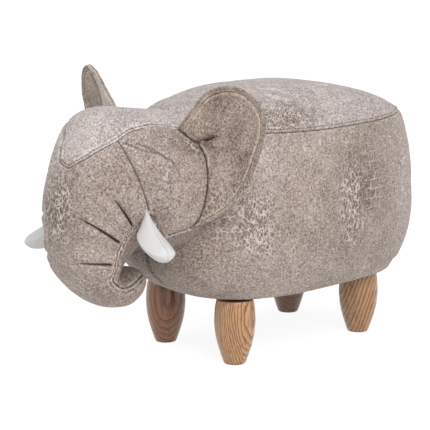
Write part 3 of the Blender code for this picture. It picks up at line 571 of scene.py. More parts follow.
@dataclass(frozen=True)
class LeatherGrain:
    """The crackled leather-look surface that every cover shares.

    It reads these values from the mesh: tone, cool, crackle, grid and seam. The cool mark is partly a cool tint and
    partly painted top light and sheen. The tone mark also carries the presses' painted shade and highlights. The seam
    mark also paints shade in gaps and creases.
    """

    drift_scale: float = 70.0
    drift: float = 9 * MM
    vein_stretch: float = 0.55
    vein_width: float = 0.17
    wear_scale: float = 22.0
    worn_range: tuple[float, float] = (0.78, 1.3)
    worn_shade: float = 0.34
    break_scale: float = 110.0
    break_range: tuple[float, float] = (0.38, 0.56)
    ladder_width: float = 17 * MM
    ladder_height: float = 12.5 * MM
    ladder_line: float = 0.9 * MM
    mottle_scale: float = 34.0
    cloud_scale: float = 9.0
    cloud_share: float = 0.6
    speckle_scale: float = 400.0
    streak_scale: tuple[float, float, float] = (95.0, 14.0, 95.0)
    streak_range: tuple[float, float] = (0.55, 0.72)
    streak_share: float = 0.55
    roughness: float = 0.62

    def build(self) -> bpy.types.NodeTree:
        """Makes the node group.

        Returns:
            The group.
        """
        colours = ("Base", "Pale", "Deep", "Cool", "Vein", "Seam Line")
        w = new_surface("crackled_leather", colours, ("Vein Scale", "Vein Amount", "Mottle", "Speckle", "Grain Scale"))
        given = w.node("NodeGroupInput").outputs
        place = given["Vector"]
        bent = w.wander(place, place, self.drift_scale, 2.0, 0.5, self.drift)
        wear = w.noise(place, self.wear_scale, 5.0, 0.66)
        worn = w.rise(w.fit(wear, 1.4, w.mark("crackle")), *self.worn_range)
        lines = self.lines(w, given, bent, worn)
        mottle = w.sum("SUBTRACT", w.noise(place, self.mottle_scale, 6.0, 0.64, 0.5), 0.5)
        cloud = w.sum("SUBTRACT", w.noise(place, self.cloud_scale, 3.0, 0.5), 0.5)
        speckle = w.sum("SUBTRACT", w.noise(place, self.speckle_scale, 2.0, 0.7, 0.6), 0.5)
        tone = w.fit(mottle, given["Mottle"], w.fit(cloud, self.cloud_share, w.mark("tone")))
        tone = w.fit(speckle, w.times(given["Speckle"], w.fit(worn, -0.1, 0.9)), tone)
        tone = w.sum("SUBTRACT", tone, w.times(worn, self.worn_shade))
        colour = self.colour(w, given, bent, tone)
        colour = w.blend(lines, colour, given["Vein"])
        # Dark seam lines; through the same seam mark, painted shade in the gaps and creases that the covers mark.
        colour = w.blend(w.mark("seam"), colour, given["Seam Line"])
        pebble_inputs = {"Vector": bent, "Scale": given["Grain Scale"]}
        pebble = w.out("ShaderNodeTexVoronoi", pebble_inputs, feature="SMOOTH_F1")
        height = w.fit(lines, 0.5, w.times(w.sum("SUBTRACT", 0.6, pebble), 0.4))
        height = w.fit(w.mark("seam"), -0.8, w.fit(speckle, 1.2, height))
        rough = w.fit(mottle, 0.35, w.fit(lines, -0.1, self.roughness), clamp=True)
        w.node("NodeGroupOutput", {"Colour": colour, "Roughness": rough, "Height": height})
        return w.tree

    def lines(self, w: Wiring, given: Sockets, bent: Socket, worn: Socket) -> Socket:
        """Returns the pale cracks of worn places: a net, or a ladder where the mesh asks for one.

        Args:
            w: The group's wiring.
            given: The group's values.
            bent: The bent place.
            worn: How worn the place is.

        Returns:
            The output that holds how pale the place is.
        """
        tall = w.scaled(bent, (1.0, 1.0, self.vein_stretch))
        cell_inputs = {"Vector": tall, "Scale": given["Vein Scale"]}
        cells = w.out("ShaderNodeTexVoronoi", cell_inputs, feature="DISTANCE_TO_EDGE")
        net = w.rise(cells, 0.0, self.vein_width, 1.0, 0.0)
        broken = w.rise(w.noise(given["Vector"], self.break_scale, 4.0, 0.7), *self.break_range, 0.1, 1.0)
        net = w.times(net, w.times(w.times(worn, given["Vein Amount"]), broken))
        split = w.node("ShaderNodeSeparateXYZ", {0: bent}).outputs
        brick_inputs = {
            "Vector": w.out("ShaderNodeCombineXYZ", {0: split[1], 1: split[2]}), "Scale": 1.0,
            "Mortar Size": self.ladder_line, "Mortar Smooth": 0.5,
            "Brick Width": self.ladder_width, "Row Height": self.ladder_height,
        }
        ladder = w.node("ShaderNodeTexBrick", brick_inputs).outputs["Fac"]
        return w.sum("MAXIMUM", net, w.times(w.times(ladder, w.mark("grid")), broken))

    def colour(self, w: Wiring, given: Sockets, bent: Socket, tone: Socket) -> Socket:
        """Returns the leather's colour, blended towards a cooler, paler colour with pale streaks where the cool mark
        asks: partly a cool tint, partly painted top light and sheen.

        Args:
            w: The group's wiring.
            given: The group's values.
            bent: The bent place.
            tone: How dark the place is.

        Returns:
            The output that holds the colour.
        """
        colour = w.blend(w.times(tone, -1.0, clamp=True), given["Base"], given["Deep"])
        colour = w.blend(w.times(tone, 1.0, clamp=True), colour, given["Pale"])
        # Painted top light and sheen: faces that the cool mark picks out blend to a cooler, paler colour, with pale
        # streaks.
        cool = w.blend(w.fit(tone, 1.1, 0.43, clamp=True), given["Cool"], given["Vein"])
        share = w.times(w.fit(w.mark("tone"), 2.4, 1.0, clamp=True), w.mark("cool"), clamp=True)
        streaks = w.noise(w.scaled(bent, self.streak_scale), 1.0, 3.0, 0.6)
        streaks = w.rise(streaks, *self.streak_range, 0.0, self.streak_share)
        return w.blend(w.times(streaks, share), w.blend(share, colour, cool), given["Vein"])


@dataclass(frozen=True)
class WoodGrain:
    """Turned ash-like wood with growth rings, pores and flecks."""

    sway_stretch: float = 0.18
    sway_scale: float = 38.0
    sway: float = 12 * MM
    ring_power: float = 1.6
    pore_scale: tuple[float, float, float] = (520.0, 520.0, 70.0)
    pore_range: tuple[float, float] = (0.5, 0.62)
    streak_scale: tuple[float, float, float] = (210.0, 210.0, 9.0)
    streak_share: float = 1.8
    line_range: tuple[float, float] = (0.5, 0.95)
    line_share: float = 0.95
    fleck_share: float = 0.8
    roughness: float = 0.3

    def build(self) -> bpy.types.NodeTree:
        """Makes the node group.

        Returns:
            The group.
        """
        w = new_surface("turned_wood", ("Base", "Pale", "Dark"), ("Ring Scale", "Ring Contrast"))
        given = w.node("NodeGroupInput").outputs
        place = given["Vector"]
        squash = w.scaled(place, (1.0, 1.0, self.sway_stretch))
        bent = w.wander(place, squash, self.sway_scale, 3.0, 0.0, self.sway)
        wave_inputs = {"Vector": bent, "Scale": given["Ring Scale"], "Distortion": 0.0}
        wave = w.node("ShaderNodeTexWave", wave_inputs, wave_type="RINGS", rings_direction="Z", wave_profile="SAW")
        ring = w.sum("POWER", wave.outputs[1], self.ring_power)
        pores = w.rise(w.noise(w.scaled(place, self.pore_scale), 1.0, 2.0, 0.6), *self.pore_range)
        streak = w.sum("SUBTRACT", w.noise(w.scaled(place, self.streak_scale), 1.0, 3.0, 0.6), 0.5)
        tone = w.fit(streak, self.streak_share, w.times(ring, given["Ring Contrast"]), clamp=True)
        flecks = w.times(w.times(w.fit(ring, 0.7, 0.25), pores), self.fleck_share)
        lines = w.times(w.rise(ring, *self.line_range, 0.0, self.line_share), w.fit(pores, 0.7, 0.3))
        colour = w.blend(tone, given["Pale"], given["Base"])
        colour = w.blend(w.sum("MAXIMUM", flecks, lines), colour, given["Dark"])
        # On the legs the seam mark darkens the wood with painted shade at the top and darkens the bottom edge.
        colour = w.blend(w.mark("seam"), colour, given["Dark"])
        rough = w.fit(pores, 0.18, w.fit(ring, 0.06, self.roughness))
        height = w.fit(pores, -0.7, w.times(ring, -0.3))
        w.node("NodeGroupOutput", {"Colour": colour, "Roughness": rough, "Height": height})
        return w.tree


@dataclass(frozen=True)
class Finish:
    """A material on the Principled shader."""

    name: str

    def start(self, shine: dict[str, float]) -> tuple[bpy.types.Material, Wiring, bpy.types.Node, Socket]:
        """Starts the material.

        Args:
            shine: Values for the shader's own inputs.

        Returns:
            The material, its wiring, its Principled shader and its object coordinates.
        """
        made = bpy.data.materials.new(self.name)
        made.use_nodes = True
        w = Wiring(made.node_tree)
        shader = w.node("ShaderNodeBsdfPrincipled", shine)
        w.node("ShaderNodeOutputMaterial", {"Surface": shader.outputs[0]})
        return made, w, shader, w.node("ShaderNodeTexCoord").outputs["Object"]

    def wear(self, w: Wiring, shader: bpy.types.Node, group: bpy.types.NodeTree, place: Socket) -> Socket:
        """Joins a shared surface to the shader, with this finish's fields for the inputs of the same names.

        Args:
            w: The material's wiring.
            shader: Its Principled shader.
            group: The shared surface.
            place: Where the surface reads its patterns.

        Returns:
            The surface's height.
        """
        surface = w.node("ShaderNodeGroup", {}, node_tree=group)
        w.tree.links.new(place, surface.inputs["Vector"])
        for socket in surface.inputs[1:]:
            value = getattr(self, socket.name.lower().replace(" ", "_"))
            socket.default_value = rgba(value) if isinstance(value, tuple) else value
        w.tree.links.new(surface.outputs["Colour"], shader.inputs["Base Color"])
        w.tree.links.new(surface.outputs["Roughness"], shader.inputs["Roughness"])
        return surface.outputs["Height"]

    @staticmethod
    def bump(w: Wiring, shader: bpy.types.Node, height: Socket, distance: float, strength: float) -> None:
        """Joins a height to the shader through a Bump node."""
        made = w.out("ShaderNodeBump", {"Height": height, "Distance": distance, "Strength": strength})
        w.tree.links.new(made, shader.inputs["Normal"])


@dataclass(frozen=True)
class LeatherFinish(Finish):
    """Soft leather-look cloth with a worn, crackled face."""

    base: Colour = (172, 156, 147)
    pale: Colour = (220, 207, 199)
    deep: Colour = (108, 90, 78)
    # The cool tint that marked faces blend to; where the mark follows upward faces it is painted top light and sheen.
    cool: Colour = (154, 141, 143)
    vein: Colour = (232, 222, 216)
    # The dark colour of seam lines and of painted shade lines in gaps and creases.
    seam_line: Colour = (62, 46, 40)
    vein_scale: float = 245.0
    vein_amount: float = 1.0
    mottle: float = 1.2
    speckle: float = 5.6
    grain_scale: float = 620.0

    def build(self, group: bpy.types.NodeTree) -> bpy.types.Material:
        """Makes the material from the shared leather surface.

        Args:
            group: The shared leather surface.

        Returns:
            The material.
        """
        made, w, shader, place = self.start(
            {"Specular IOR Level": 0.42, "Sheen Weight": 0.12, "Sheen Roughness": 0.5}
        )
        self.bump(w, shader, self.wear(w, shader, group, place), 0.7 * MM, 0.9)
        return made


@dataclass(frozen=True)
class WoodFinish(Finish):
    """Lacquered turned wood, with its own plank and tilt for each leg."""

    base: Colour
    pale: Colour
    dark: Colour
    shift: tuple[float, float, float]
    tilt: tuple[float, float, float]
    ring_scale: float = 62.0
    ring_contrast: float = 1.15

    def build(self, group: bpy.types.NodeTree) -> bpy.types.Material:
        """Makes the material from the shared wood.

        Args:
            group: The shared wood.

        Returns:
            The material.
        """
        made, w, shader, place = self.start({"Coat Weight": 0.5, "Coat Roughness": 0.12})
        moved = w.out("ShaderNodeMapping", {"Vector": place, "Location": self.shift, "Rotation": self.tilt})
        self.bump(w, shader, self.wear(w, shader, group, moved), 0.15 * MM, 0.5)
        return made


@dataclass(frozen=True)
class PlainFinish(Finish):
    """A plain substance with grain of its own: two colours, a noise, and a bump."""

    first: Colour
    second: Colour
    scale: tuple[float, float, float]
    rough: tuple[float, float]
    metallic: float = 0.0
    height: float = 0.2 * MM
    sheen: float = 0.0
    grain_range: tuple[float, float] = (0.3, 0.7)

    def build(self) -> bpy.types.Material:
        """Makes the material.

        Returns:
            The material.
        """
        made, w, shader, place = self.start({"Metallic": self.metallic, "Sheen Weight": self.sheen})
        grain = w.noise(w.scaled(place, self.scale), 1.0, 5.0, 0.62)
        colour = w.blend(w.rise(grain, *self.grain_range), rgba(self.first), rgba(self.second))
        w.tree.links.new(colour, shader.inputs["Base Color"])
        w.tree.links.new(w.rise(grain, *self.grain_range, *self.rough), shader.inputs["Roughness"])
        self.bump(w, shader, grain, self.height, 0.6)
        return made


@dataclass(frozen=True)
class Padding:
    """Lets a stuffed cover settle: cloth that is held at its seams and pressed out from inside."""

    pressure: float = 4.0
    loose: float = 0.025
    frames: int = 20
    cap: float = 2.5 * MM
    quality: int = 6
    mass: float = 0.4
    stretch_stiffness: float = 18.0
    shear_stiffness: float = 8.0
    bending_stiffness: float = 0.6

    def settle(self, name: str, coarse: Skin, held: Array) -> Array:
        """Runs the cloth on a coarse copy of a cover.

        Args:
            name: What is stuffed, for the log.
            coarse: The cover on few points.
            held: How firmly each of its points is held, from 0 to 1.

        Returns:
            How far each point of the coarse grid moves.
        """
        obj = bpy.data.objects.new(f"{name}_cloth", coarse.mesh(f"{name}_cloth"))
        bpy.context.scene.collection.objects.link(obj)
        group = obj.vertex_groups.new(name="held")
        for index, weight in enumerate(coarse.ends_of(held).tolist()):
            group.add([index], weight, "REPLACE")
        cloth = obj.modifiers.new("cloth", "CLOTH")
        settings = cloth.settings
        settings.quality, settings.mass = self.quality, self.mass
        settings.tension_stiffness = settings.compression_stiffness = self.stretch_stiffness
        settings.shear_stiffness, settings.bending_stiffness = self.shear_stiffness, self.bending_stiffness
        settings.use_pressure = True
        settings.uniform_pressure_force = self.pressure
        settings.vertex_group_mass = "held"
        settings.pin_stiffness = 1.0
        settings.shrink_min = -self.loose
        settings.effector_weights.gravity = 0
        cloth.collision_settings.use_collision = False
        scene = bpy.context.scene
        for number in range(1, self.frames + 1):
            scene.frame_set(number)
        settled = obj.evaluated_get(bpy.context.evaluated_depsgraph_get()).to_mesh()
        places = np.empty(len(settled.vertices) * 3, np.float32)
        settled.vertices.foreach_get("co", places)
        moved = places.reshape(-1, 3)[:coarse.grid.shape[0] * coarse.grid.shape[1]] - coarse.grid.reshape(-1, 3)
        scene.frame_set(1)
        bpy.data.objects.remove(obj, do_unlink=True)
        far = np.linalg.norm(moved, axis=1, keepdims=True)
        LOG.info("%s settles by %.1f mm at most before its cap", name, far.max() / MM)
        moved *= np.tanh(far / self.cap) * self.cap / np.maximum(far, 1e-9)
        return moved.reshape(coarse.grid.shape)


@dataclass
class BodyCover:
    """The body's padded cover: two side bands and the seat panel over foam."""

    length: float = 426 * MM
    width: float = 290 * MM
    centre_y: float = 79.5 * MM
    widest_height: float = 213 * MM
    underside: float = 91.6 * MM
    edge_rise: float = 3.4 * MM
    edge_share: float = 0.835
    hem_share: float = 0.75
    turn_share: float = 0.79
    lower_bulge: float = 2.6
    upper_bulge: float = 2.4
    squareness: tuple[float, float] = (3.1, 2.6)
    edge_squareness: float = 3.0
    chest_bulge: float = 19 * MM
    chest_droop: float = 0.75
    seat_length: float = 398 * MM
    seat_width: float = 256 * MM
    seat_top: float = 360 * MM
    seam_height: float = 312 * MM
    front_rise: float = 8 * MM
    rear_rise: float = 3 * MM
    seat_squareness: float = 2.5
    crown_power: float = 2.6
    end_powers: tuple[float, float] = (3.1, 1.9)
    edge_power: float = 0.8
    columns: int = 420
    row_step: float = 2.0 * MM
    cloth_columns: int = 120
    cloth_step: float = 7 * MM
    cloth_hold: float = 0.08
    trace_columns: int = 400
    trace_step: float = 6 * MM
    stitch_inset: float = 4.5 * MM
    # The pale values paint highlights beside the seams and the shade values paint shade along them; the creases'
    # negative shade paints a pale line along each crease.
    seat_press: Press = Press(1.6 * MM, 1.3 * MM, 0.5 * MM, 8 * MM, 0.4 * MM, dark=0.65, line=0.6 * MM, pale=0.2)
    crease_press: Press = Press(1.6 * MM, 2.0 * MM, 0.8 * MM, 6 * MM, dark=0.0, shade=-0.75)
    stitch_press: Press = Press(0.6 * MM, 0.8 * MM, dark=0.35, shade=0.05, line=0.5 * MM, pale=0.15)
    side_press: Press = Press(1.4 * MM, 1.3 * MM, 0.5 * MM, 7 * MM, 0.5 * MM, pale=0.15)
    waves: tuple[tuple[float, float, float], ...] = ((0.8 * MM, 60 * MM, 3.1), (0.25 * MM, 22 * MM, 8.4))
    sat_place: tuple[float, float, float] = (-20 * MM, 235 * MM, 345 * MM)
    sat_size: float = 65 * MM
    sat_depth: float = 3.5 * MM
    crease_way: tuple[float, float] = (0.667, 0.745)
    crease_wander: float = 5 * MM
    creases: tuple[tuple[float, float, float], ...] = (
        (75 * MM, 15 * MM, 24 * MM), (55 * MM, 35 * MM, 28 * MM), (30 * MM, 50 * MM, 22 * MM),
        (90 * MM, -10 * MM, 18 * MM), (45 * MM, 125 * MM, 20 * MM), (-60 * MM, 20 * MM, 30 * MM),
    )

    def section(self, v: float, columns: int) -> Array:
        """Returns the ring at a place up the cover.

        Args:
            v: 0 is the hem's turn, 1 the widest height, 2 the seat's seam and 3 the seat's middle.
            columns: How many points the ring has.

        Returns:
            The ring's points, from the front over the left side.
        """
        half_width, half_length = self.width / 2, self.length / 2
        rise_share, seat_share, chest = 0.0, 1.0, 0.0
        square = np.full(2, self.edge_squareness)
        if v < 0:
            t = min(-v, 1.0)
            share = self.edge_share - (self.edge_share - self.turn_share) * (1 - math.sqrt(1 - t * t))
            share = share if t < 1 else self.hem_share
            half_width, half_length = half_width * share, half_length * share
            height = self.underside + self.edge_rise * (1 - t)
        elif v <= 1:
            t = 1 - v
            scale = 1 - (1 - self.edge_share) * t**self.lower_bulge
            half_width, half_length = half_width * scale, half_length * scale
            square = square * t + np.array(self.squareness) * v
            chest = self.chest_bulge * math.sin(math.pi * v**self.chest_droop)
            height = self.underside + self.edge_rise + (self.widest_height - self.underside - self.edge_rise) * v
        elif v <= 2:
            t = v - 1
            draw = t**self.upper_bulge
            half_width += (self.seat_width / 2 - half_width) * draw
            half_length += (self.seat_length / 2 - half_length) * draw
            square = np.array(self.squareness) * (1 - t) + self.seat_squareness * t
            height = self.widest_height + (self.seam_height - self.widest_height) * t
            rise_share = t
        else:
            seat_share = 3 - v
            half_width, half_length = self.seat_width / 2 * seat_share, self.seat_length / 2 * seat_share
            square, height, rise_share = np.full(2, self.seat_squareness), self.seam_height, 1.0
        sine, cosine = self.even_wave(half_width, half_length, square, columns)
        rise = np.where(cosine > 0, self.front_rise, self.rear_rise) * rise_share * cosine**2
        crown = 0.0
        if v > 2:
            end_power = np.where(cosine > 0, *self.end_powers)
            power = self.crown_power + (end_power - self.crown_power) * np.abs(cosine)
            rise = rise * seat_share**power
            crown = (self.seat_top - self.seam_height) * (1 - seat_share**power) ** self.edge_power
        ahead = cosine * half_length + np.where(cosine > 0, chest * cosine**2, 0.0)
        return np.stack([sine * half_width, self.centre_y - ahead, height + rise + crown], axis=1)

    @staticmethod
    def even_wave(half_width: float, half_length: float, squareness: Array, count: int) -> tuple[Array, Array]:
        """Returns the sine and cosine of points round a superellipse, closer together at its two ends.

        Args:
            half_width: Half the width.
            half_length: Half the length.
            squareness: 2 for an ellipse, more for a squarer one.
            count: How many points.

        Returns:
            The sines and the cosines.
        """
        t = np.linspace(0, 1, 900)
        quarters = []
        for square in squareness:
            sine, cosine = power_wave(math.pi / 2 * t * t * (3 - 2 * t), square)
            run = np.concatenate([[0], np.cumsum(np.hypot(np.diff(sine) * half_width, np.diff(cosine) * half_length))])
            at = gathered(run[-1], count // 4 + 1, [0.0], 4 * MM)
            quarters.append((np.interp(at, run, sine), np.interp(at, run, cosine)))
        (front_s, front_c), (rear_s, rear_c) = quarters
        return (
            np.concatenate([front_s[:-1], rear_s[:0:-1], -rear_s[:-1], -front_s[:0:-1]]),
            np.concatenate([front_c[:-1], -rear_c[:0:-1], -rear_c[:-1], front_c[:0:-1]]),
        )

    def rows(self, spacing: float) -> Array:
        """Returns places up the cover that are evenly spaced over its surface.

        Args:
            spacing: The distance between rows.

        Returns:
            The places: below 0 under the base, 2 at the seat's seam and near 3 at the seat's middle.
        """
        dense = np.concatenate([
            np.linspace(-1, 0, 40)[1:], np.linspace(0, 2, 300)[1:], 3 - np.linspace(1, 0.02, 300)[1:]
        ])
        rings = np.array([self.section(v, 16) for v in dense])
        run = np.concatenate([[0], np.cumsum(np.linalg.norm(np.diff(rings, axis=0), axis=2).mean(axis=1))])
        seam = float(np.interp(2.0, dense, run))
        rows = np.interp(gathered(run[-1], round(run[-1] / spacing), [seam], 4 * MM), run, dense)
        rows[np.abs(rows - 2).argmin()] = 2
        return np.concatenate([[-1], rows])

    def skin(self, spacing: float, columns: int) -> Skin:
        """Returns the cover's skin at a spacing of its rows.

        Args:
            spacing: The distance between rows.
            columns: How many points each row has.

        Returns:
            The skin.
        """
        grid = np.array([self.section(v, columns) for v in self.rows(spacing)])
        bottom = np.array((0, self.centre_y, self.underside))
        top = np.array((0, self.centre_y, self.seat_top))
        return Skin(grid, bottom, top)

    def trace(self, places: list[tuple[float, float]]) -> Trace:
        """Returns a line through places given as how far up the cover and the share of the way round it.

        Args:
            places: The places.

        Returns:
            The line.
        """
        columns = self.trace_columns
        normals, rows = self.skin(self.trace_step, columns).normals(), self.rows(self.trace_step)
        dense = through(places, np.linspace(0, len(places) - 1, 60 * (len(places) - 1) + 1))
        points, outs = [], []
        for v, share in dense:
            ring = self.section(float(v), columns)
            column = (share % 1) * columns
            i, t = int(column) % columns, column - int(column)
            points.append(ring[i] * (1 - t) + ring[(i + 1) % columns] * t)
            outs.append(normals[np.abs(rows - v).argmin(), i])
        return Trace(np.array(points), np.array(outs))

    def crease(self, skin: Skin, place: tuple[float, float, float], number: int) -> Trace:
        """Returns a wandering crease on the seat through a place, given with half its length.

        Args:
            skin: The body's skin.
            place: The middle in x and y, and half the length.
            number: The crease's number, for its wander.

        Returns:
            The line.
        """
        x, y, half = place
        along_x, along_y = self.crease_way
        run = np.linspace(-half, half, 60)
        wander = np.array([noise.noise(Vector((s * 90, number, 2.5))) for s in run.tolist()]) * self.crease_wander
        spots = np.stack([x + run * along_x - wander * along_y, y + run * along_y + wander * along_x], axis=1)
        top = skin.places[skin.places[:, 2] > self.seat_top - 40 * MM]
        points = np.array([top[np.hypot(*(top[:, :2] - spot).T).argmin()] for spot in spots])
        points[:, :2] = spots
        return Trace(points, np.tile(UP, (len(run), 1)))

    def seat_seam(self) -> Trace:
        """Returns the seam between the seat panel and the side bands.

        Returns:
            The seam's line.
        """
        ring = self.section(2.0, 1200)
        ring = np.vstack([ring, ring[:1]])
        out = self.section(1.97, 1200) - self.section(2.0, 1200)
        normal = np.cross(np.gradient(ring, axis=0), np.vstack([out, out[:1]]))
        normal *= np.sign(np.einsum("ij,ij->i", normal, ring - (0, self.centre_y, self.widest_height)))[:, None]
        return Trace(ring, unit(normal))

    def build(self, padding: Padding, sewing: "Sewing", leather: bpy.types.Material) -> bpy.types.Object:
        """Makes the padded body.

        Args:
            padding: Settles the cover over its foam.
            sewing: Takes the lines of stitches.
            leather: The cover's material.

        Returns:
            The body's object.
        """
        skin = self.skin(self.row_step, self.columns)
        seat_seam = self.seat_seam()
        chest, rump = (self.trace([(0.02, share), (1.0, share), (2.0, share)]) for share in (0.0, 0.5))
        self.settle(skin, padding)
        skin.roughen(*self.waves)
        sat = (skin.places - np.array(self.sat_place)) / self.sat_size
        skin.push(-self.sat_depth * np.exp(-np.einsum("ij,ij->i", sat, sat)))
        self.seat_press.apply(skin, seat_seam, seed=2)
        for number, crease in enumerate(self.creases):
            self.crease_press.apply(skin, self.crease(skin, crease, number), (0.3, 0.3))
        stitches = seat_seam.beside(-self.stitch_inset)
        self.stitch_press.apply(skin, Trace(stitches, seat_seam.normals))
        for number, seam in enumerate((chest, rump)):
            self.side_press.apply(skin, seam, seed=5 + number)
        # Painted top light: faces near the seat that look up get the cooler, paler colour, along with real crackle.
        facing = skin.normals().reshape(-1, 3)
        height = skin.places[:, 2]
        upward = step(facing[:, 2], 0.15, 0.75) * step(height, 300 * MM, 330 * MM)
        skin.mark("cool", 0.9 * upward)
        skin.mark("crackle", 0.45 * upward)
        for patch in BODY_PATCHES:
            patch.apply(skin)
        obj = dress("body_cover", skin.mesh("body_cover"), leather)
        surface = surface_of(obj)
        sewing.line(surface, stitches, "stool")
        for seam in (chest, rump):
            for distance in (4 * MM, -4 * MM):
                sewing.line(surface, seam.beside(distance, 0.06, 0.97), "stool")
        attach(obj, "stool")
        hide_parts("side_band_left", "side_band_right", "seat_panel", "body_foam", "seat_foam")
        return obj

    def settle(self, skin: Skin, padding: Padding) -> None:
        """Settles the cover, held at its hem and its seams, and moves the skin with it.

        Args:
            skin: The body's skin.
            padding: The settings of the cloth simulation.
        """
        columns = self.cloth_columns
        coarse = self.skin(self.cloth_step, columns)
        rows, around = self.rows(self.cloth_step)[:, None], np.arange(columns)[None]
        held = np.exp(-((rows - 2) / self.cloth_hold) ** 2) + (rows < self.cloth_hold) + 0.0 * around
        centre = (around < 2) | (around > columns - 2) | (np.abs(around - columns // 2) < 2)
        held = np.maximum(held, centre & (rows < 2))
        moved = padding.settle("body", coarse, np.clip(held, 0, 1))
        skin.grid = skin.grid + stretch_grid(moved, *skin.grid.shape[:2])


BODY_PATCHES = (
    Patch((0.140, 0.108, 0.234), (0.06, 0.038, 0.048), -0.65, 0.30),
    Patch((0.140, 0.085, 0.225), (0.06, 0.020, 0.040), 0.0, 0.40),
    Patch((0.140, 0.130, 0.232), (0.06, 0.018, 0.045), 0.0, 0.0, 0.9),
    Patch((0.140, 0.088, 0.178), (0.06, 0.024, 0.036), -0.15, 0.40),
    Patch((0.140, -0.078, 0.214), (0.06, 0.042, 0.048), -0.10, 0.78),
    Patch((0.140, -0.065, 0.172), (0.06, 0.036, 0.024), 0.0, 0.5),
    Patch((0.140, -0.058, 0.285), (0.05, 0.026, 0.026), 0.1, -0.5, 0.0, 0.8),
    Patch((0.140, 0.017, 0.235), (0.06, 0.040, 0.060), 0.08, -0.4),
    Patch((0.125, 0.220, 0.235), (0.06, 0.020, 0.070), 0.05, 0.45),
    Patch((0.130, -0.080, 0.140), (0.06, 0.070, 0.030), 0.22, -0.3),
    Patch((0.100, 0.237, 0.170), (0.04, 0.040, 0.080), 0.18, 0.35),
    Patch((0.120, 0.200, 0.200), (0.06, 0.024, 0.060), 0.05, 0.30, 0.0, 0.35),
    Patch((0.105, 0.000, 0.330), (0.04, 0.045, 0.020), -0.55, 0.55),
    Patch((0.060, 0.285, 0.220), (0.05, 0.030, 0.070), -0.25, 0.6),
    Patch((0.050, -0.120, 0.150), (0.06, 0.050, 0.050), -0.30, -0.3),
    Patch((0.130, 0.030, 0.110), (0.06, 0.120, 0.022), 0.2, -0.4),
)


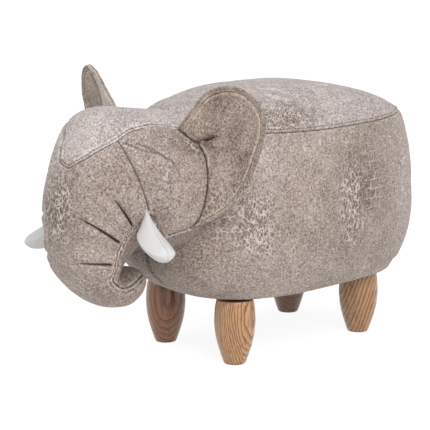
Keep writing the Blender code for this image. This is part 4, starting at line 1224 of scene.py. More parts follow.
@dataclass
class HeadCover:
    """The head and trunk: a padded cover on sections of the side view, with seams, darts and tucks."""

    reach: float = 221 * MM
    drop: float = 264 * MM
    width: float = 224 * MM
    top: float = 350 * MM
    neck_y: float = -71.5 * MM
    rows: int = 332
    cells: tuple[int, int, int] = (30, 74, 40)
    sections: tuple[tuple[float, ...], ...] = (
        (0.000, 0.650, 0.020, 0.075, 0.840, 2.2),
        (0.135, 0.680, 0.165, 0.050, 0.930, 2.2),
        (0.340, 0.705, 0.385, 0.025, 1.000, 2.3),
        (0.515, 0.705, 0.580, 0.000, 0.965, 2.3),
        (0.525, 0.705, 0.725, 0.022, 0.820, 2.2),
        (0.535, 0.700, 0.862, 0.130, 0.700, 2.1),
        (0.550, 0.705, 0.962, 0.315, 0.620, 2.1),
        (0.575, 0.715, 1.000, 0.490, 0.570, 2.1),
        (0.640, 0.745, 0.972, 0.705, 0.515, 2.1),
        (0.670, 0.785, 0.902, 0.822, 0.470, 2.1),
        (0.625, 0.805, 0.758, 0.935, 0.410, 2.0),
        (0.565, 0.805, 0.582, 0.976, 0.350, 1.9),
        (0.490, 0.800, 0.477, 0.950, 0.285, 1.9),
        (0.427, 0.810, 0.418, 0.905, 0.195, 1.9),
        (0.392, 0.830, 0.385, 0.868, 0.060, 1.9),
    )
    crown_seam: tuple[tuple[float, float], ...] = (
        (0, 37), (1.6, 38), (2.5, 34), (3.3, 37), (4.35, 39), (4.6, 36.5), (5, 30), (5.3, 23), (5.5, 14.5), (5.65, 5),
        (6.2, 10), (7, 22), (8, 27), (14, 27),
    )
    far_crown_seam: tuple[tuple[float, float], ...] = (
        (0, 37), (1.6, 38), (2.5, 34), (3.3, 37), (4, 38), (4.6, 27), (4.8, 22), (5.05, 17), (5.3, 15), (5.5, 11.5),
        (5.65, 4), (6.2, 10), (7, 22), (8, 27), (14, 27),
    )
    side_seam: tuple[tuple[float, float], ...] = (
        (0, 116), (2.1, 119), (2.8, 124), (3.4, 128), (3.6, 128), (3.9, 125), (4.15, 118), (4.3, 110), (4.45, 102),
        (4.8, 105), (5.2, 104.5), (5.8, 104), (6.25, 100.5), (6.85, 100), (7, 98.5), (7.5, 98), (8.1, 99.5),
        (8.45, 92), (8.8, 91), (9.15, 97), (9.6, 102), (10, 109), (11, 119), (12, 125), (12.6, 128), (14, 135),
    )
    face_seam: tuple[tuple[float, float], ...] = ((4.35, 39), (4.45, 60), (4.47, 84), (4.45, 99))
    darts: tuple[tuple[tuple[float, float], ...], ...] = (
        ((3.9, 50), (3.35, 60), (2.9, 68), (2.78, 72)),
        ((4.25, 44), (3.85, 56), (3.2, 63.5), (2.92, 70)),
    )
    dart_fade: tuple[tuple[float, float], ...] = ((2.8, 71), (2.65, 80), (2.65, 88), (2.8, 94))
    tucks: tuple[tuple[tuple[float, float], ...], ...] = (
        ((5.65, 66), (5.67, 82), (5.7, 99)),
        ((6.8, 31), (6.85, 60), (6.9, 92)),
        ((7.95, 28), (7.88, 58), (7.8, 87)),
    )
    rim_station: float = 12.4
    hollow: float = 8 * MM
    ear_root: tuple[tuple[float, float], ...] = (
        (1.4, 44), (1.4, 50), (1.45, 64), (1.53, 75), (1.65, 85), (1.78, 94), (1.86, 104), (1.95, 111), (2.1, 118),
    )
    jaw: tuple[tuple[float, float], ...] = ((3.5, 128), (3.1, 126), (2.8, 124), (2.4, 121), (2.05, 118))
    waves: tuple[tuple[float, float, float], ...] = ((0.7 * MM, 45 * MM, 1.7), (0.3 * MM, 16 * MM, 5.2))
    cloth_rows: int = 84
    cloth_coarser: int = 4
    hold_reach: float = 4 * MM
    stitch_inset: float = 3.6 * MM
    rib_width: float = 4.5 * MM
    far_tuck_shift: float = 18.0
    # The pale values paint highlights on the puffed cloth beside seams, the rib and the jaw's wrinkles; the shade
    # values, and the dark lines of the tucks and the ear's root, paint shade in their grooves.
    seam_press: Press = Press(1.3 * MM, 1.2 * MM, 0.6 * MM, 6 * MM, 0.3 * MM, shade=0.1, pale=0.16)
    stitch_press: Press = Press(0.6 * MM, 0.8 * MM, dark=0.45, shade=0.05, line=0.5 * MM, pale=0.3)
    rib_press: Press = Press(
        2.0 * MM, 1.3 * MM, 1.8 * MM, 4 * MM, 2.2 * MM, 5 * MM, dark=1.0, shade=0.1, line=0.9 * MM, pale=0.55
    )
    rib_edge_press: Press = Press(
        1.3 * MM, 1.2 * MM, 0.6 * MM, 4 * MM, 1.8 * MM, 5 * MM, dark=0.8, shade=0.15, line=0.75 * MM, pale=0.5
    )
    dart_press: Press = Press(1.2 * MM, 1.1 * MM, 0.4 * MM, 4 * MM, dark=0.8, shade=0.12, line=0.95 * MM, pale=0.3)
    dart_fade_press: Press = Press(
        0.8 * MM, 1.4 * MM, 0.4 * MM, 6 * MM, dark=0.5, shade=0.12, line=0.85 * MM, pale=0.2
    )
    tuck_press: Press = Press(2.2 * MM, 1.3 * MM, 1.2 * MM, 8 * MM, dark=1.1, shade=0.15, line=0.6 * MM, pale=0.1)
    tuck_end_press: Press = Press(1.0 * MM, 1.6 * MM, dark=1.0, shade=0.2, line=0.95 * MM)
    ear_press: Press = Press(3.5 * MM, 2.6 * MM, 1.5 * MM, 8 * MM, dark=1.1, shade=0.4, line=2.0 * MM)
    jaw_press: Press = Press(1.6 * MM, 1.6 * MM, 1.2 * MM, 6 * MM, 1.8 * MM, 6 * MM, dark=0.5, shade=0.3, pale=0.5)

    def surface(self, stations: Array, degrees: Array) -> Array:
        """Returns the surface's points.

        Args:
            stations: Places from the neck to the trunk's tip, counted in sections.
            degrees: The angle at each place, from the middle of the crown to the left.

        Returns:
            The points, in the shape of the two inputs together.
        """
        table = through(self.sections, np.ravel(stations)).T
        inner_reach, inner_drop, outer_reach, outer_drop, width, square = table.reshape(-1, *np.shape(stations))
        sine, cosine = power_wave(np.radians(degrees), square)
        y_in, z_in = self.neck_y - inner_reach * self.reach, self.top - inner_drop * self.drop
        y_out, z_out = self.neck_y - outer_reach * self.reach, self.top - outer_drop * self.drop
        return np.stack([
            sine * width * self.width / 2,
            (y_in + y_out + (y_out - y_in) * cosine) / 2,
            (z_in + z_out + (z_out - z_in) * cosine) / 2,
        ], axis=-1)

    @property
    def last(self) -> int:
        """The station of the trunk's tip."""
        return len(self.sections) - 1

    def stations(self, rows: int) -> Array:
        """Returns the stations of the rows, closer together at the seams and tucks.

        Args:
            rows: How many rows.

        Returns:
            One station for each row.
        """
        dense = np.linspace(0, self.last, 700)
        lines = np.array([self.surface(dense, np.full(700, a)) for a in (0.0, 60.0, 120.0, 180.0)])
        run = np.concatenate([[0], np.cumsum(np.linalg.norm(np.diff(lines, axis=1), axis=2).mean(axis=0))])
        seams = [4.5, self.rim_station] + [tuck[0][0] for tuck in self.tucks]
        at = gathered(run[-1], rows, [float(np.interp(seam, dense, run)) for seam in seams], 4 * MM, 3.0)
        return np.interp(at, run, dense)

    @staticmethod
    def seam_angle(table: tuple[tuple[float, float], ...], stations: Array) -> Array:
        """Returns a seam's angle at stations, with its corners rounded.

        Args:
            table: The seam's stations and angles.
            stations: The stations.

        Returns:
            The angles in degrees.
        """
        places, degrees = np.array(table, float).T
        shifts = np.linspace(-0.25, 0.25, 11)
        return np.mean([np.interp(stations + shift, places, degrees) for shift in shifts], axis=0)

    def skin(self, rows: int, coarser: int = 1) -> Skin:
        """Returns the head's skin, whose columns follow the crown's and the side's seams.

        Args:
            rows: How many rows it has.
            coarser: How many times fewer columns it has than the finest.

        Returns:
            The skin.
        """
        stations = self.stations(rows)[:, None]
        side = self.seam_angle(self.side_seam, stations)
        t_crown, t_cheek, t_throat = (np.linspace(0, 1, n // coarser, endpoint=False)[None] for n in self.cells)
        tight = 0.8
        near, far = [
            np.concatenate([
                crown * (t_crown + tight * t_crown * (1 - t_crown)),
                crown + (side - crown) * (0.4 * t_cheek + 0.6 * t_cheek**2 * (3 - 2 * t_cheek)),
                side + (180 - side) * (t_throat - tight * t_throat * (1 - t_throat)),
            ], axis=1)
            for crown in (self.seam_angle(table, stations) for table in (self.crown_seam, self.far_crown_seam))
        ]
        degrees = np.concatenate([near, np.full_like(stations, 180.0), -far[:, :0:-1]], axis=1)
        grid = self.surface(np.broadcast_to(stations, degrees.shape), degrees)
        centres = grid.mean(axis=1)
        return Skin(grid, centres[0], centres[-1] + (centres[-1] - centres[-3]) / 3)

    def crown_line(self, side: Side) -> Trace:
        """Returns the crown's seam on one side, down to its rounded tip.

        Args:
            side: The side.

        Returns:
            The seam's line.
        """
        table, tip = {
            Side.LEFT: (self.crown_seam, ((5.3, 23), (5.5, 14.5), (5.62, 9), (5.66, 5))),
            Side.RIGHT: (self.far_crown_seam, ((5.3, 15), (5.5, 11.5), (5.6, 5), (5.66, -5))),
        }[side]
        stations = np.linspace(0, 5.1, 27)
        return self.trace((*zip(stations.tolist(), self.seam_angle(table, stations).tolist()), *tip), side)

    def side_line(self, side: Side) -> Trace:
        """Returns the seam between the cheek or the trunk's front and its back."""
        stations = np.linspace(0.3, self.rim_station, 60)
        return self.trace(tuple(zip(stations.tolist(), self.seam_angle(self.side_seam, stations).tolist())), side)

    def trace(self, places: tuple[tuple[float, float], ...], side: Side) -> Trace:
        """Returns a smooth line through places given as a station and an angle.

        Args:
            places: The places on the left side.
            side: The side.

        Returns:
            The line.
        """
        corners = len(places) - 1
        dense = through(places, np.linspace(0, corners, max(180, 12 * corners) + 1))
        stations, degrees = np.clip(dense[:, 0], 0, self.last), dense[:, 1] * side.value
        points = self.surface(stations, degrees)
        ahead, behind = (np.clip(stations + move, 0, self.last) for move in (0.02, -0.02))
        along = self.surface(ahead, degrees) - self.surface(behind, degrees)
        around = self.surface(stations, degrees + 1) - self.surface(stations, degrees - 1)
        normals = unit(np.cross(around, along))
        crown, throat = (self.surface(stations, np.full_like(degrees, angle)) for angle in (0.0, 180.0))
        centre = (crown + throat) / 2
        normals *= np.sign(np.einsum("ij,ij->i", normals, points - centre))[:, None]
        return Trace(points, normals)

    def build(self, padding: Padding, sewing: "Sewing", leather: bpy.types.Material) -> bpy.types.Object:
        """Makes the padded head and trunk.

        Args:
            padding: Settles the cover over its filling.
            sewing: Takes the lines of stitches.
            leather: The cover's material.

        Returns:
            The head's object.
        """
        skin = self.skin(self.rows)
        self.settle(skin, padding)
        skin.roughen(*self.waves)
        self.open_end(skin)
        lines = [self.press_side(skin, side) for side in Side]
        # Painted top light: the crown panel gets the cool tint, faces that look up get the cooler, paler colour, and on
        # the far side faces towards the front get painted light.
        facing = skin.normals().reshape(-1, 3)
        columns = np.arange(skin.grid.shape[1])
        inside = np.minimum(columns, len(columns) - columns) / self.cells[0]
        crown = np.outer(1 - step(self.stations(self.rows), 5.3, 5.7), 1 - step(inside, 0.94, 1.0)).reshape(-1)
        skin.mark("cool", np.maximum(crown, 0.3 * step(facing[:, 2], 0.15, 0.7)))
        far_side_painted_light = step(-skin.places[:, 0], -8 * MM, 14 * MM) * step(skin.places[:, 2], 0.20, 0.24)
        skin.mark("cool", 0.9 * far_side_painted_light * step(-facing[:, 1], 0.3, 0.7), Join.LARGEST)
        for patch in HEAD_PATCHES:
            patch.apply(skin)
        obj = dress("head_cover", skin.mesh("head_cover"), leather)
        surface = surface_of(obj)
        for line in lines:
            sewing.line(surface, line, "stool")
        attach(obj, "stool")
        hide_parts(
            "crown_panel", "cheek_left", "cheek_right", "trunk_front_panel", "trunk_back_panel",
            "head_filling", "trunk_filling",
        )
        return obj

    def press_side(self, skin: Skin, side: Side) -> Array:
        """Presses one side's seams, darts, tucks and folds into the skin.

        Args:
            skin: The head's skin.
            side: The side.

        Returns:
            The crown's line of stitches.
        """
        crown, ridge = self.crown_line(side), self.side_line(side)
        inset = self.stitch_inset * side.value
        self.seam_press.apply(skin, crown, seed=side.value)
        self.stitch_press.apply(skin, Trace(crown.beside(inset), crown.normals))
        self.rib_press.apply(skin, ridge, (0.3, 0.0), seed=3 + side.value)
        rib_edge = Trace(ridge.beside(self.rib_width * side.value), ridge.normals)
        self.rib_edge_press.apply(skin, rib_edge, (0.3, 0.08), seed=11)
        self.seam_press.apply(skin, self.trace(self.face_seam, side), seed=7 + side.value)
        for dart in self.darts:
            self.dart_press.apply(skin, self.trace(dart, side), (0, 0.2))
        self.dart_fade_press.apply(skin, self.trace(self.dart_fade, side), (0, 0.8))
        for (station, angle), *rest in self.tucks:
            start = angle + self.far_tuck_shift * (side is Side.RIGHT)
            tuck = self.trace(((station, start), *rest), side)
            self.tuck_press.apply(skin, tuck, (0.25, 0.03))
            self.tuck_end_press.apply(skin, tuck, (0.9, 0.05))
        self.ear_press.apply(skin, self.trace(self.ear_root, side), (0.12, 0.16))
        self.jaw_press.apply(skin, self.trace(self.jaw, side), (0.05, 0.1))
        return crown.beside(inset, 0.1, 0.985)

    def open_end(self, skin: Skin) -> None:
        """Presses a shallow hollow into the trunk's end, with a stitched rim round it, and paints shade under the head
        and trunk and inside the hollow.

        Args:
            skin: The head's skin.
        """
        stations = np.repeat(self.stations(self.rows), skin.grid.shape[1])
        centres = skin.grid.mean(axis=1)
        ahead = unit(centres[-1] - centres[-12])
        depth = self.hollow * step(stations, self.rim_station, self.rim_station + 0.9)
        skin.grid = skin.grid - depth.reshape(skin.grid.shape[:2])[:, :, None] * ahead
        skin.last_tip = skin.last_tip - self.hollow * ahead
        # Painted shade: darker between the side seams under the head and behind the trunk, less so further down the
        # trunk, and darker inside the end's hollow.
        under = (0.35 - 0.2 * step(stations, 8.2, 8.8)) * self.throat_share(skin)
        skin.mark("tone", -np.maximum(under, 0.45 * step(stations, self.rim_station, self.rim_station + 0.5)))
        skin.mark("seam", 0.7 * np.exp(-(((stations - self.rim_station) / 0.035) ** 2)), Join.LARGEST)

    def throat_share(self, skin: Skin) -> Array:
        """Returns 1 for the points between the side seams, under the head and behind the trunk, and 0 elsewhere.

        Args:
            skin: The head's skin.

        Returns:
            The share for each point.
        """
        column = np.arange(skin.grid.shape[1])
        half = sum(self.cells)
        inside = np.abs(column - half) < self.cells[2]
        return np.broadcast_to(inside, skin.grid.shape[:2]).reshape(-1).astype(float)

    def settle(self, skin: Skin, padding: Padding) -> None:
        """Settles the cover, held at its neck and its seams, and moves the skin with it.

        Args:
            skin: The head's skin.
            padding: The settings of the cloth simulation.
        """
        coarse = self.skin(self.cloth_rows, self.cloth_coarser)
        held = np.zeros(len(coarse.places))
        for side in Side:
            face = self.trace(self.face_seam, side)
            tucks = [self.trace(tuck, side) for tuck in self.tucks]
            for line in (self.crown_line(side), self.side_line(side), face, *tucks):
                gap, _, _ = line.measure(coarse.places, 5 * self.hold_reach)
                held = np.maximum(held, gap < self.hold_reach)
        held = held.reshape(coarse.grid.shape[:2])
        held[:6] = held[-2:] = 1
        moved = padding.settle("head", coarse, held)
        skin.grid = skin.grid + stretch_grid(moved, *skin.grid.shape[:2])


HEAD_PATCHES = (
    Patch((0.014, -0.290, 0.235), (0.024, 0.030, 0.045), -0.45, 0.42),
    Patch((0.087, -0.188, 0.318), (0.025, 0.030, 0.014), -0.40, 0.45),
    Patch((0.093, -0.150, 0.305), (0.025, 0.022, 0.018), -0.55, 0.5),
    Patch((0.105, -0.199, 0.270), (0.030, 0.018, 0.020), 0.0, 0.42),
    Patch((0.029, -0.270, 0.138), (0.035, 0.040, 0.030), -0.15, 0.40),
    Patch((0.060, -0.250, 0.250), (0.025, 0.025, 0.035), -0.2, -0.4),
    Patch((0.009, -0.259, 0.319), (0.030, 0.024, 0.024), 0.20, 0.40),
)


@dataclass
class Ear:
    """A stuffed ear with a cupped face and a flat stitched lip, on its sewn root."""

    side: Side
    origin: tuple[float, float, float] = (102 * MM, -145.5 * MM, 270 * MM)
    sweep: float = math.radians(23.5)
    lean: float = 0.0
    reach: float = 90 * MM
    rise: float = 115 * MM
    cup: float = 14 * MM
    belly: float = 7 * MM
    lip_share: float = 0.9
    lip_width: float = 5.5 * MM
    lip_gap: float = 0.5 * MM
    wall: float = 1.3 * MM
    centre: tuple[float, float] = (0.52, 0.3)
    columns: int = 200
    fold: tuple[tuple[float, float], ...] = ()
    head_share: float = 0.12
    head_height: float = 0.62
    body_share: float = 0.34
    blend_share: float = 0.22
    crease: tuple[tuple[float, float], ...] = ((-0.1, 0.32), (0.33, 0.47), (-8 * MM, -3 * MM))
    # The lip's and the fold's pale values paint highlights beside their lines; the crease's dark line and shade paint
    # shadow in the crease at the root.
    lip_press: Press = Press(
        1.0 * MM, 1.2 * MM, 0.7 * MM, 4 * MM, 0.4 * MM, dark=0.5, shade=0.1, line=0.6 * MM, pale=0.65
    )
    edge_press: Press = Press(0.5 * MM, 0.7 * MM, dark=0.6, shade=0.0, line=0.6 * MM)
    crease_press: Press = Press(6 * MM, 3 * MM, 2 * MM, 12 * MM, dark=1.2, shade=0.35, line=1.3 * MM)
    fold_press: Press = Press(-2.2 * MM, 2.4 * MM, dark=0.95, shade=0.0, line=1.3 * MM, pale=0.9)
    outline: tuple[tuple[float, float, float], ...] = (
        (-0.30, 0.48, -0.50), (-0.21, 0.61, -0.30), (-0.06, 0.75, -0.10), (0.07, 0.88, 0),
        (0.25, 0.965, 0), (0.46, 1.00, 0), (0.66, 0.98, 0), (0.83, 0.90, 0), (0.95, 0.79, 0),
        (1.00, 0.64, 0), (0.98, 0.48, 0), (0.915, 0.28, 0), (0.82, 0.08, 0), (0.69, -0.11, 0),
        (0.53, -0.27, 0), (0.35, -0.40, 0), (0.15, -0.49, 0.20), (-0.03, -0.54, 0.50),
        (0.00, -0.36, 0.48), (0.04, -0.15, 0.22), (0.10, 0.04, -0.30), (0.08, 0.20, -0.75),
        (0.00, 0.32, -0.90), (-0.15, 0.40, -0.70),
    )

    def __post_init__(self) -> None:
        """Finds the ear's own directions."""
        mirror = np.array((self.side.value, 1, 1))
        self.out = np.array((math.cos(self.sweep), math.sin(self.sweep), 0)) * mirror
        self.forward = np.array((math.sin(self.sweep), -math.cos(self.sweep), 0)) * mirror
        self.up = np.array((0, -math.sin(self.lean), math.cos(self.lean)))
        self.root = np.array(self.origin) * mirror

    def place(self, out: Array, up: Array, forward: Array) -> Array:
        """Returns places from shares of the ear's reach and rise and a size forward.

        Args:
            out: Shares of the reach.
            up: Shares of the rise.
            forward: Sizes forward.

        Returns:
            The places.
        """
        return (
            self.root + np.multiply.outer(out * self.reach, self.out)
            + np.multiply.outer(up * self.rise, self.up) + np.multiply.outer(forward, self.forward)
        )

    def ring(self, share: float, layer: Layer) -> Array:
        """Returns the ring at a share of the way to the rim.

        Args:
            share: The share of the way to the rim.
            layer: The face or the back.

        Returns:
            The ring's points.
        """
        out, up, forward = loop_through(self.outline, self.columns).T
        wide = np.hypot((out - self.centre[0]) * self.reach, (up - self.centre[1]) * self.rise)
        lip = 1 - self.lip_width / wide
        past = (share - self.lip_share) / (1 - self.lip_share)
        part = lip * share / self.lip_share if past < 0 else lip + past * (1 - lip)
        reach = self.centre[0] + (out - self.centre[0]) * part
        rise = self.centre[1] + (up - self.centre[1]) * part
        belly = self.belly * max(0.0, 1 - (share / self.lip_share) ** 2)
        hollow = self.cup * (forward * share**2 - (1 - share**2))
        return self.place(reach, rise, hollow + layer.value * (belly + self.lip_gap / 2 + self.wall))

    def rim(self, share: float) -> Array:
        """Returns the ring half way between the face and the back."""
        return self.ring(share, Layer.FACE) / 2 + self.ring(share, Layer.BACK) / 2

    def skin(self) -> Skin:
        """Returns the ear's skin, from the middle of its face round the rim to the middle of its back.

        Returns:
            The skin.
        """
        shares = np.concatenate([np.linspace(0.03, 0.84, 34), np.linspace(0.86, 0.985, 10)])
        face = [self.ring(share, Layer.FACE) for share in shares]
        back = [self.ring(share, Layer.BACK) for share in shares[::-1]]
        edge_face, edge_back = (self.ring(0.997, layer) for layer in Layer)
        outer = self.rim(1.008)
        turn = []
        for t in np.linspace(0, 1, 7):
            angle = math.pi * t
            mixed = (edge_face + edge_back) / 2 + (edge_face - edge_back) / 2 * math.cos(angle)
            turn.append(mixed + (outer - (edge_face + edge_back) / 2) * math.sin(angle))
        grid = np.array(face + turn + back)
        return Skin(grid, *(self.ring(0.0, layer)[0] for layer in Layer))

    def build(
        self, head: BVHTree, sewing: "Sewing", face: bpy.types.Material, back: bpy.types.Material
    ) -> bpy.types.Object:
        """Makes the ear.

        Args:
            head: The head's surface.
            sewing: Takes the lines of stitches.
            face: The material of its face.
            back: The material of its back.

        Returns:
            The ear's object.
        """
        skin = self.skin()
        body = f"ear_{self.side.word}"
        rows = len(skin.grid)
        skin.out = 1.0
        skin.out = float(np.sign(np.einsum("j,ij->i", self.forward, skin.normals()[rows // 6]).mean()))
        flat = skin.places
        skin.roughen((0.7 * MM, 30 * MM, 2.3 + self.side.value), (0.3 * MM, 12 * MM, 6.1))
        stitches = {layer: self.ring(self.lip_share, layer) for layer in Layer}
        for layer, ring in stitches.items():
            closed = np.vstack([ring, ring[:1]])
            self.lip_press.apply(skin, Trace(closed, np.tile(self.forward * layer.value, (len(closed), 1))))
        edge = self.rim(1.006)
        closed = np.vstack([edge, edge[:1]])
        self.edge_press.apply(skin, Trace(closed, np.tile(self.out, (len(closed), 1))))
        crease = self.place(*(np.linspace(*ends, 60) for ends in self.crease))
        self.crease_press.apply(skin, Trace(crease, np.tile(self.forward, (60, 1))), (0, 0.35))
        if self.fold:
            self.fold_in(skin)
        low = 1 - step(flat[:, 2], 0.235, 0.30)
        skin.mark("crackle", 0.15 + 0.5 * low)
        skin.mark("tone", -0.05 - 0.1 * low + 0.5 * ripple(flat, 26 * MM, 9.3 + self.side.value))
        # Painted shadow: a dark line where the ear meets the head.
        skin.mark("seam", 1 - step(gap_to(head, skin), 1.2 * MM, 2.8 * MM), Join.LARGEST)
        data = skin.mesh(f"{body}_cover")
        obj = dress(f"{body}_cover", data, face)
        data.materials.append(back)
        columns = skin.grid.shape[1]
        half = (rows // 2) * columns
        for polygon in data.polygons:
            behind = max(polygon.vertices[:3]) >= half and polygon.vertices[0] != rows * columns
            polygon.material_index = int(behind)
        surface = surface_of(obj)
        sewing.line(surface, stitches[Layer.FACE][self.outside(self.head_share)], body)
        sewing.line(surface, stitches[Layer.BACK][self.outside(self.body_share)], body)
        root, tip = self.place(np.array([0.0, self.blend_share]), np.full(2, self.centre[1]), np.zeros(2))
        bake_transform(obj)
        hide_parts(f"ear_face_{self.side.word}", f"ear_back_{self.side.word}", f"ear_core_{self.side.word}")
        return obj

    def fold_in(self, skin: Skin) -> None:
        """Folds the inner side of the face in at the root, where the cloth's paler side shows.

        Args:
            skin: The ear's skin.
        """
        out, up = through(self.fold, np.linspace(0, len(self.fold) - 1, 80)).T
        local = skin.places - self.root
        share = np.stack([local @ self.out / self.reach, local @ self.up / self.rise], axis=1)
        face = slice(0, len(share) // 2)
        nearest = [np.hypot(*(share[face] - at).T).argmin() for at in zip(out, up)]
        line = Trace(skin.places[face][nearest], np.tile(self.forward, (80, 1)))
        order = np.argsort(up)
        inner = 1 - step(share[:, 0] - np.interp(share[:, 1], up[order], out[order]), -0.03, 0.0)
        inner[face.stop:] = 0
        skin.mark("cool", 0.9 * inner)
        skin.mark("tone", 0.5 * inner)
        # Painted highlight beside the fold's dark line, from the fold press's pale value.
        self.fold_press.apply(skin, line, (0.22, 0))

    def outside(self, low_end: float) -> Array:
        """Finds the part of the outline that carries stitches.

        Args:
            low_end: The share of the reach from which the ear's low end has them.

        Returns:
            The numbers of the outline's points that neither head nor body hides, in order.
        """
        out, up, _ = loop_through(self.outline, self.columns).T
        free = ~(((out < self.head_share) & (up < self.head_height)) | ((out < low_end) & (up < 0)))
        start = int(np.flatnonzero(free & ~np.roll(free, 1))[0])
        order = (np.arange(self.columns) + start) % self.columns
        return order[free[order]]


FAR_EAR_FOLD = (
    (0.469, 1.02), (0.408, 0.98), (0.272, 0.905), (0.212, 0.785), (0.202, 0.665), (0.209, 0.565), (0.215, 0.44),
)


@dataclass
class Tusk:
    """A stuffed tusk of white leather-look cloth."""

    side: Side
    root_height: float
    tip_height: float
    root: tuple[float, float] = (52 * MM, -208 * MM)
    tip: tuple[float, float] = (146 * MM, -233 * MM)
    bow: float = 5 * MM
    height: float = 46 * MM
    width: float = 30 * MM
    rows: int = 90
    columns: int = 72
    seam_press: Press = Press(0.5 * MM, 1.0 * MM, 0.2 * MM, 4 * MM, 0.2 * MM, dark=0.25, shade=0.05)
    taper: tuple[tuple[float, float, float, float], ...] = (
        (0, 1, 0.12, 1.3), (0.22, 0.98, 0.18, 1.36), (0.33, 0.95, 0.66, 1.25), (0.45, 0.88, 0.95, 1.08),
        (0.65, 0.75, 1.08, 0.85), (0.83, 0.6, 0.96, 0.78), (0.94, 0.45, 0.74, 0.8), (1, 0.26, 0.42, 0.8),
    )

    def skin(self) -> Skin:
        """Returns the tusk's skin, from its root in the head to its rounded tip.

        Returns:
            The skin.
        """
        mirror = np.array((self.side.value, 1, 1))
        root = np.array((*self.root, self.root_height)) * mirror
        tip = np.array((*self.tip, self.tip_height)) * mirror
        bow = np.array((0, 0, -self.bow))
        table = through(self.taper, np.linspace(0, len(self.taper) - 1, 400))
        order = np.interp(np.linspace(0, 1, self.rows) ** 0.85, table[:, 0], np.arange(400))
        rings = []
        for t, high, wide, crest in through(table, order):
            centre = root + (tip - root) * t + bow * 4 * t * (1 - t)
            along = unit(tip - root + bow * 4 * (1 - 2 * t))
            across = unit(np.cross(along, UP))
            up = np.cross(across, along)
            angle = np.linspace(0, 2 * math.pi, self.columns, endpoint=False)[:, None]
            sine = np.sin(angle)
            sideways = np.cos(angle) * (1 - (0.6 - 0.4 * t**3) * np.abs(sine)) * 1.15 * wide * self.width / 2
            upward = sine * np.where(sine > 0, crest, 1.0) * high * self.height / 2
            rings.append(centre + across * sideways + up * upward)
        grid = np.array(rings)
        centres = grid.mean(axis=1)
        ahead = unit(centres[-1] - centres[-3])
        return Skin(grid, centres[0], centres[-1] + ahead * self.width * 0.05)

    def build(self, cloth: bpy.types.Material, head: BVHTree) -> bpy.types.Object:
        """Makes the tusk's object, with a painted shadow line where it leaves the head.

        Args:
            cloth: The cover's material.
            head: The head's surface.

        Returns:
            The tusk's object.
        """
        skin = self.skin()
        # Painted shadow: dark where the tusk meets the head.
        skin.mark("seam", 0.9 * (1 - step(gap_to(head, skin), 0.2 * MM, 1.1 * MM)), Join.LARGEST)
        upward = np.tile(UP, (self.rows, 1))
        under = Trace(skin.grid[:, self.columns * 3 // 4], -upward)
        over = Trace(skin.grid[:, self.columns // 4], upward)
        skin.roughen((0.4 * MM, 18 * MM, 4.4 + self.side.value))
        for trace in (under, over):
            self.seam_press.apply(skin, trace)
        obj = dress(f"tusk_{self.side.word}", skin.mesh(f"tusk_{self.side.word}"), cloth)
        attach(obj, "stool")
        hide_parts(f"tusk_cover_{self.side.word}", f"tusk_filling_{self.side.word}")
        return obj


@dataclass
class TurnedLeg:
    """A wooden leg turned from its profile, with its bore and the recess for its glide."""

    place: str
    x: float
    y: float
    bottom: float = 1 * MM
    height: float = 89 * MM
    diameter: float = 55.5 * MM
    bore: float = 8.6 * MM
    bore_depth: float = 36 * MM
    recess: float = 20.6 * MM
    recess_height: float = 3.3 * MM
    segments: int = 72
    profile: tuple[tuple[float, float], ...] = (
        (1, 0.84), (0.985, 0.875), (0.93, 0.925), (0.84, 0.967), (0.67, 1), (0.54, 0.978),
        (0.40, 0.918), (0.27, 0.82), (0.15, 0.70), (0.06, 0.60), (0.02, 0.555), (0, 0.52),
    )

    def outline(self) -> list[tuple[float, float]]:
        """Returns the turned outline as radii and heights, from the bore's end round to the recess.

        Returns:
            Each point's radius and height.
        """
        top = self.bottom + self.height
        smooth = through(self.profile, np.linspace(0, len(self.profile) - 1, 67))
        side = [(share * self.diameter / 2, self.bottom + height * self.height) for height, share in smooth]
        inside = [(self.bore / 2, top - self.bore_depth), (self.bore / 2, top)]
        under = [(self.recess / 2, self.bottom), (self.recess / 2, self.recess_height)]
        return inside + side + under

    def build(self, wood: bpy.types.Material) -> bpy.types.Object:
        """Makes the leg's object.

        Args:
            wood: The leg's material.

        Returns:
            The leg's object.
        """
        outline = self.outline()
        top = self.bottom + self.height
        angle = np.linspace(0, 2 * math.pi, self.segments, endpoint=False)
        grid = np.array([
            np.stack([self.x + r * np.cos(angle), self.y + r * np.sin(angle), np.full(self.segments, z)], axis=1)
            for r, z in outline
        ])
        tips = (self.x, self.y, top - self.bore_depth), (self.x, self.y, self.recess_height)
        skin = Skin(grid, np.array(tips[0]), np.array(tips[1]))
        height = skin.places[:, 2]
        # Painted shade through the seam mark: darker at the top, under the body's edge; the bottom edge is darker too.
        top_shade = 0.75 * step(height, top - 1.5 * MM, top - 0.3 * MM)
        skin.mark("seam", top_shade + 0.7 * (1 - step(height, 1.4 * MM, 3 * MM)))
        obj = dress(f"turned_leg_{self.place}", skin.mesh(f"turned_leg_{self.place}"), wood)
        obj.data.set_sharp_from_angle(angle=math.radians(35))
        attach(obj, "stool")
        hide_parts(f"leg_{self.place}")
        return obj


def dress(name: str, data: bpy.types.Mesh, material: bpy.types.Material) -> bpy.types.Object:
    """Puts a mesh in the scene with its material.

    Args:
        name: The object's name.
        data: The mesh.
        material: The material.

    Returns:
        The object.
    """
    obj = bpy.data.objects.new(name, data)
    data.materials.append(material)
    bpy.context.scene.collection.objects.link(obj)
    return obj


def surface_of(obj: bpy.types.Object) -> BVHTree:
    """Returns a search tree over an object's mesh.

    Args:
        obj: The object.

    Returns:
        The search tree.
    """
    made = bmesh.new()
    made.from_mesh(obj.data)
    tree = BVHTree.FromBMesh(made)
    made.free()
    return tree


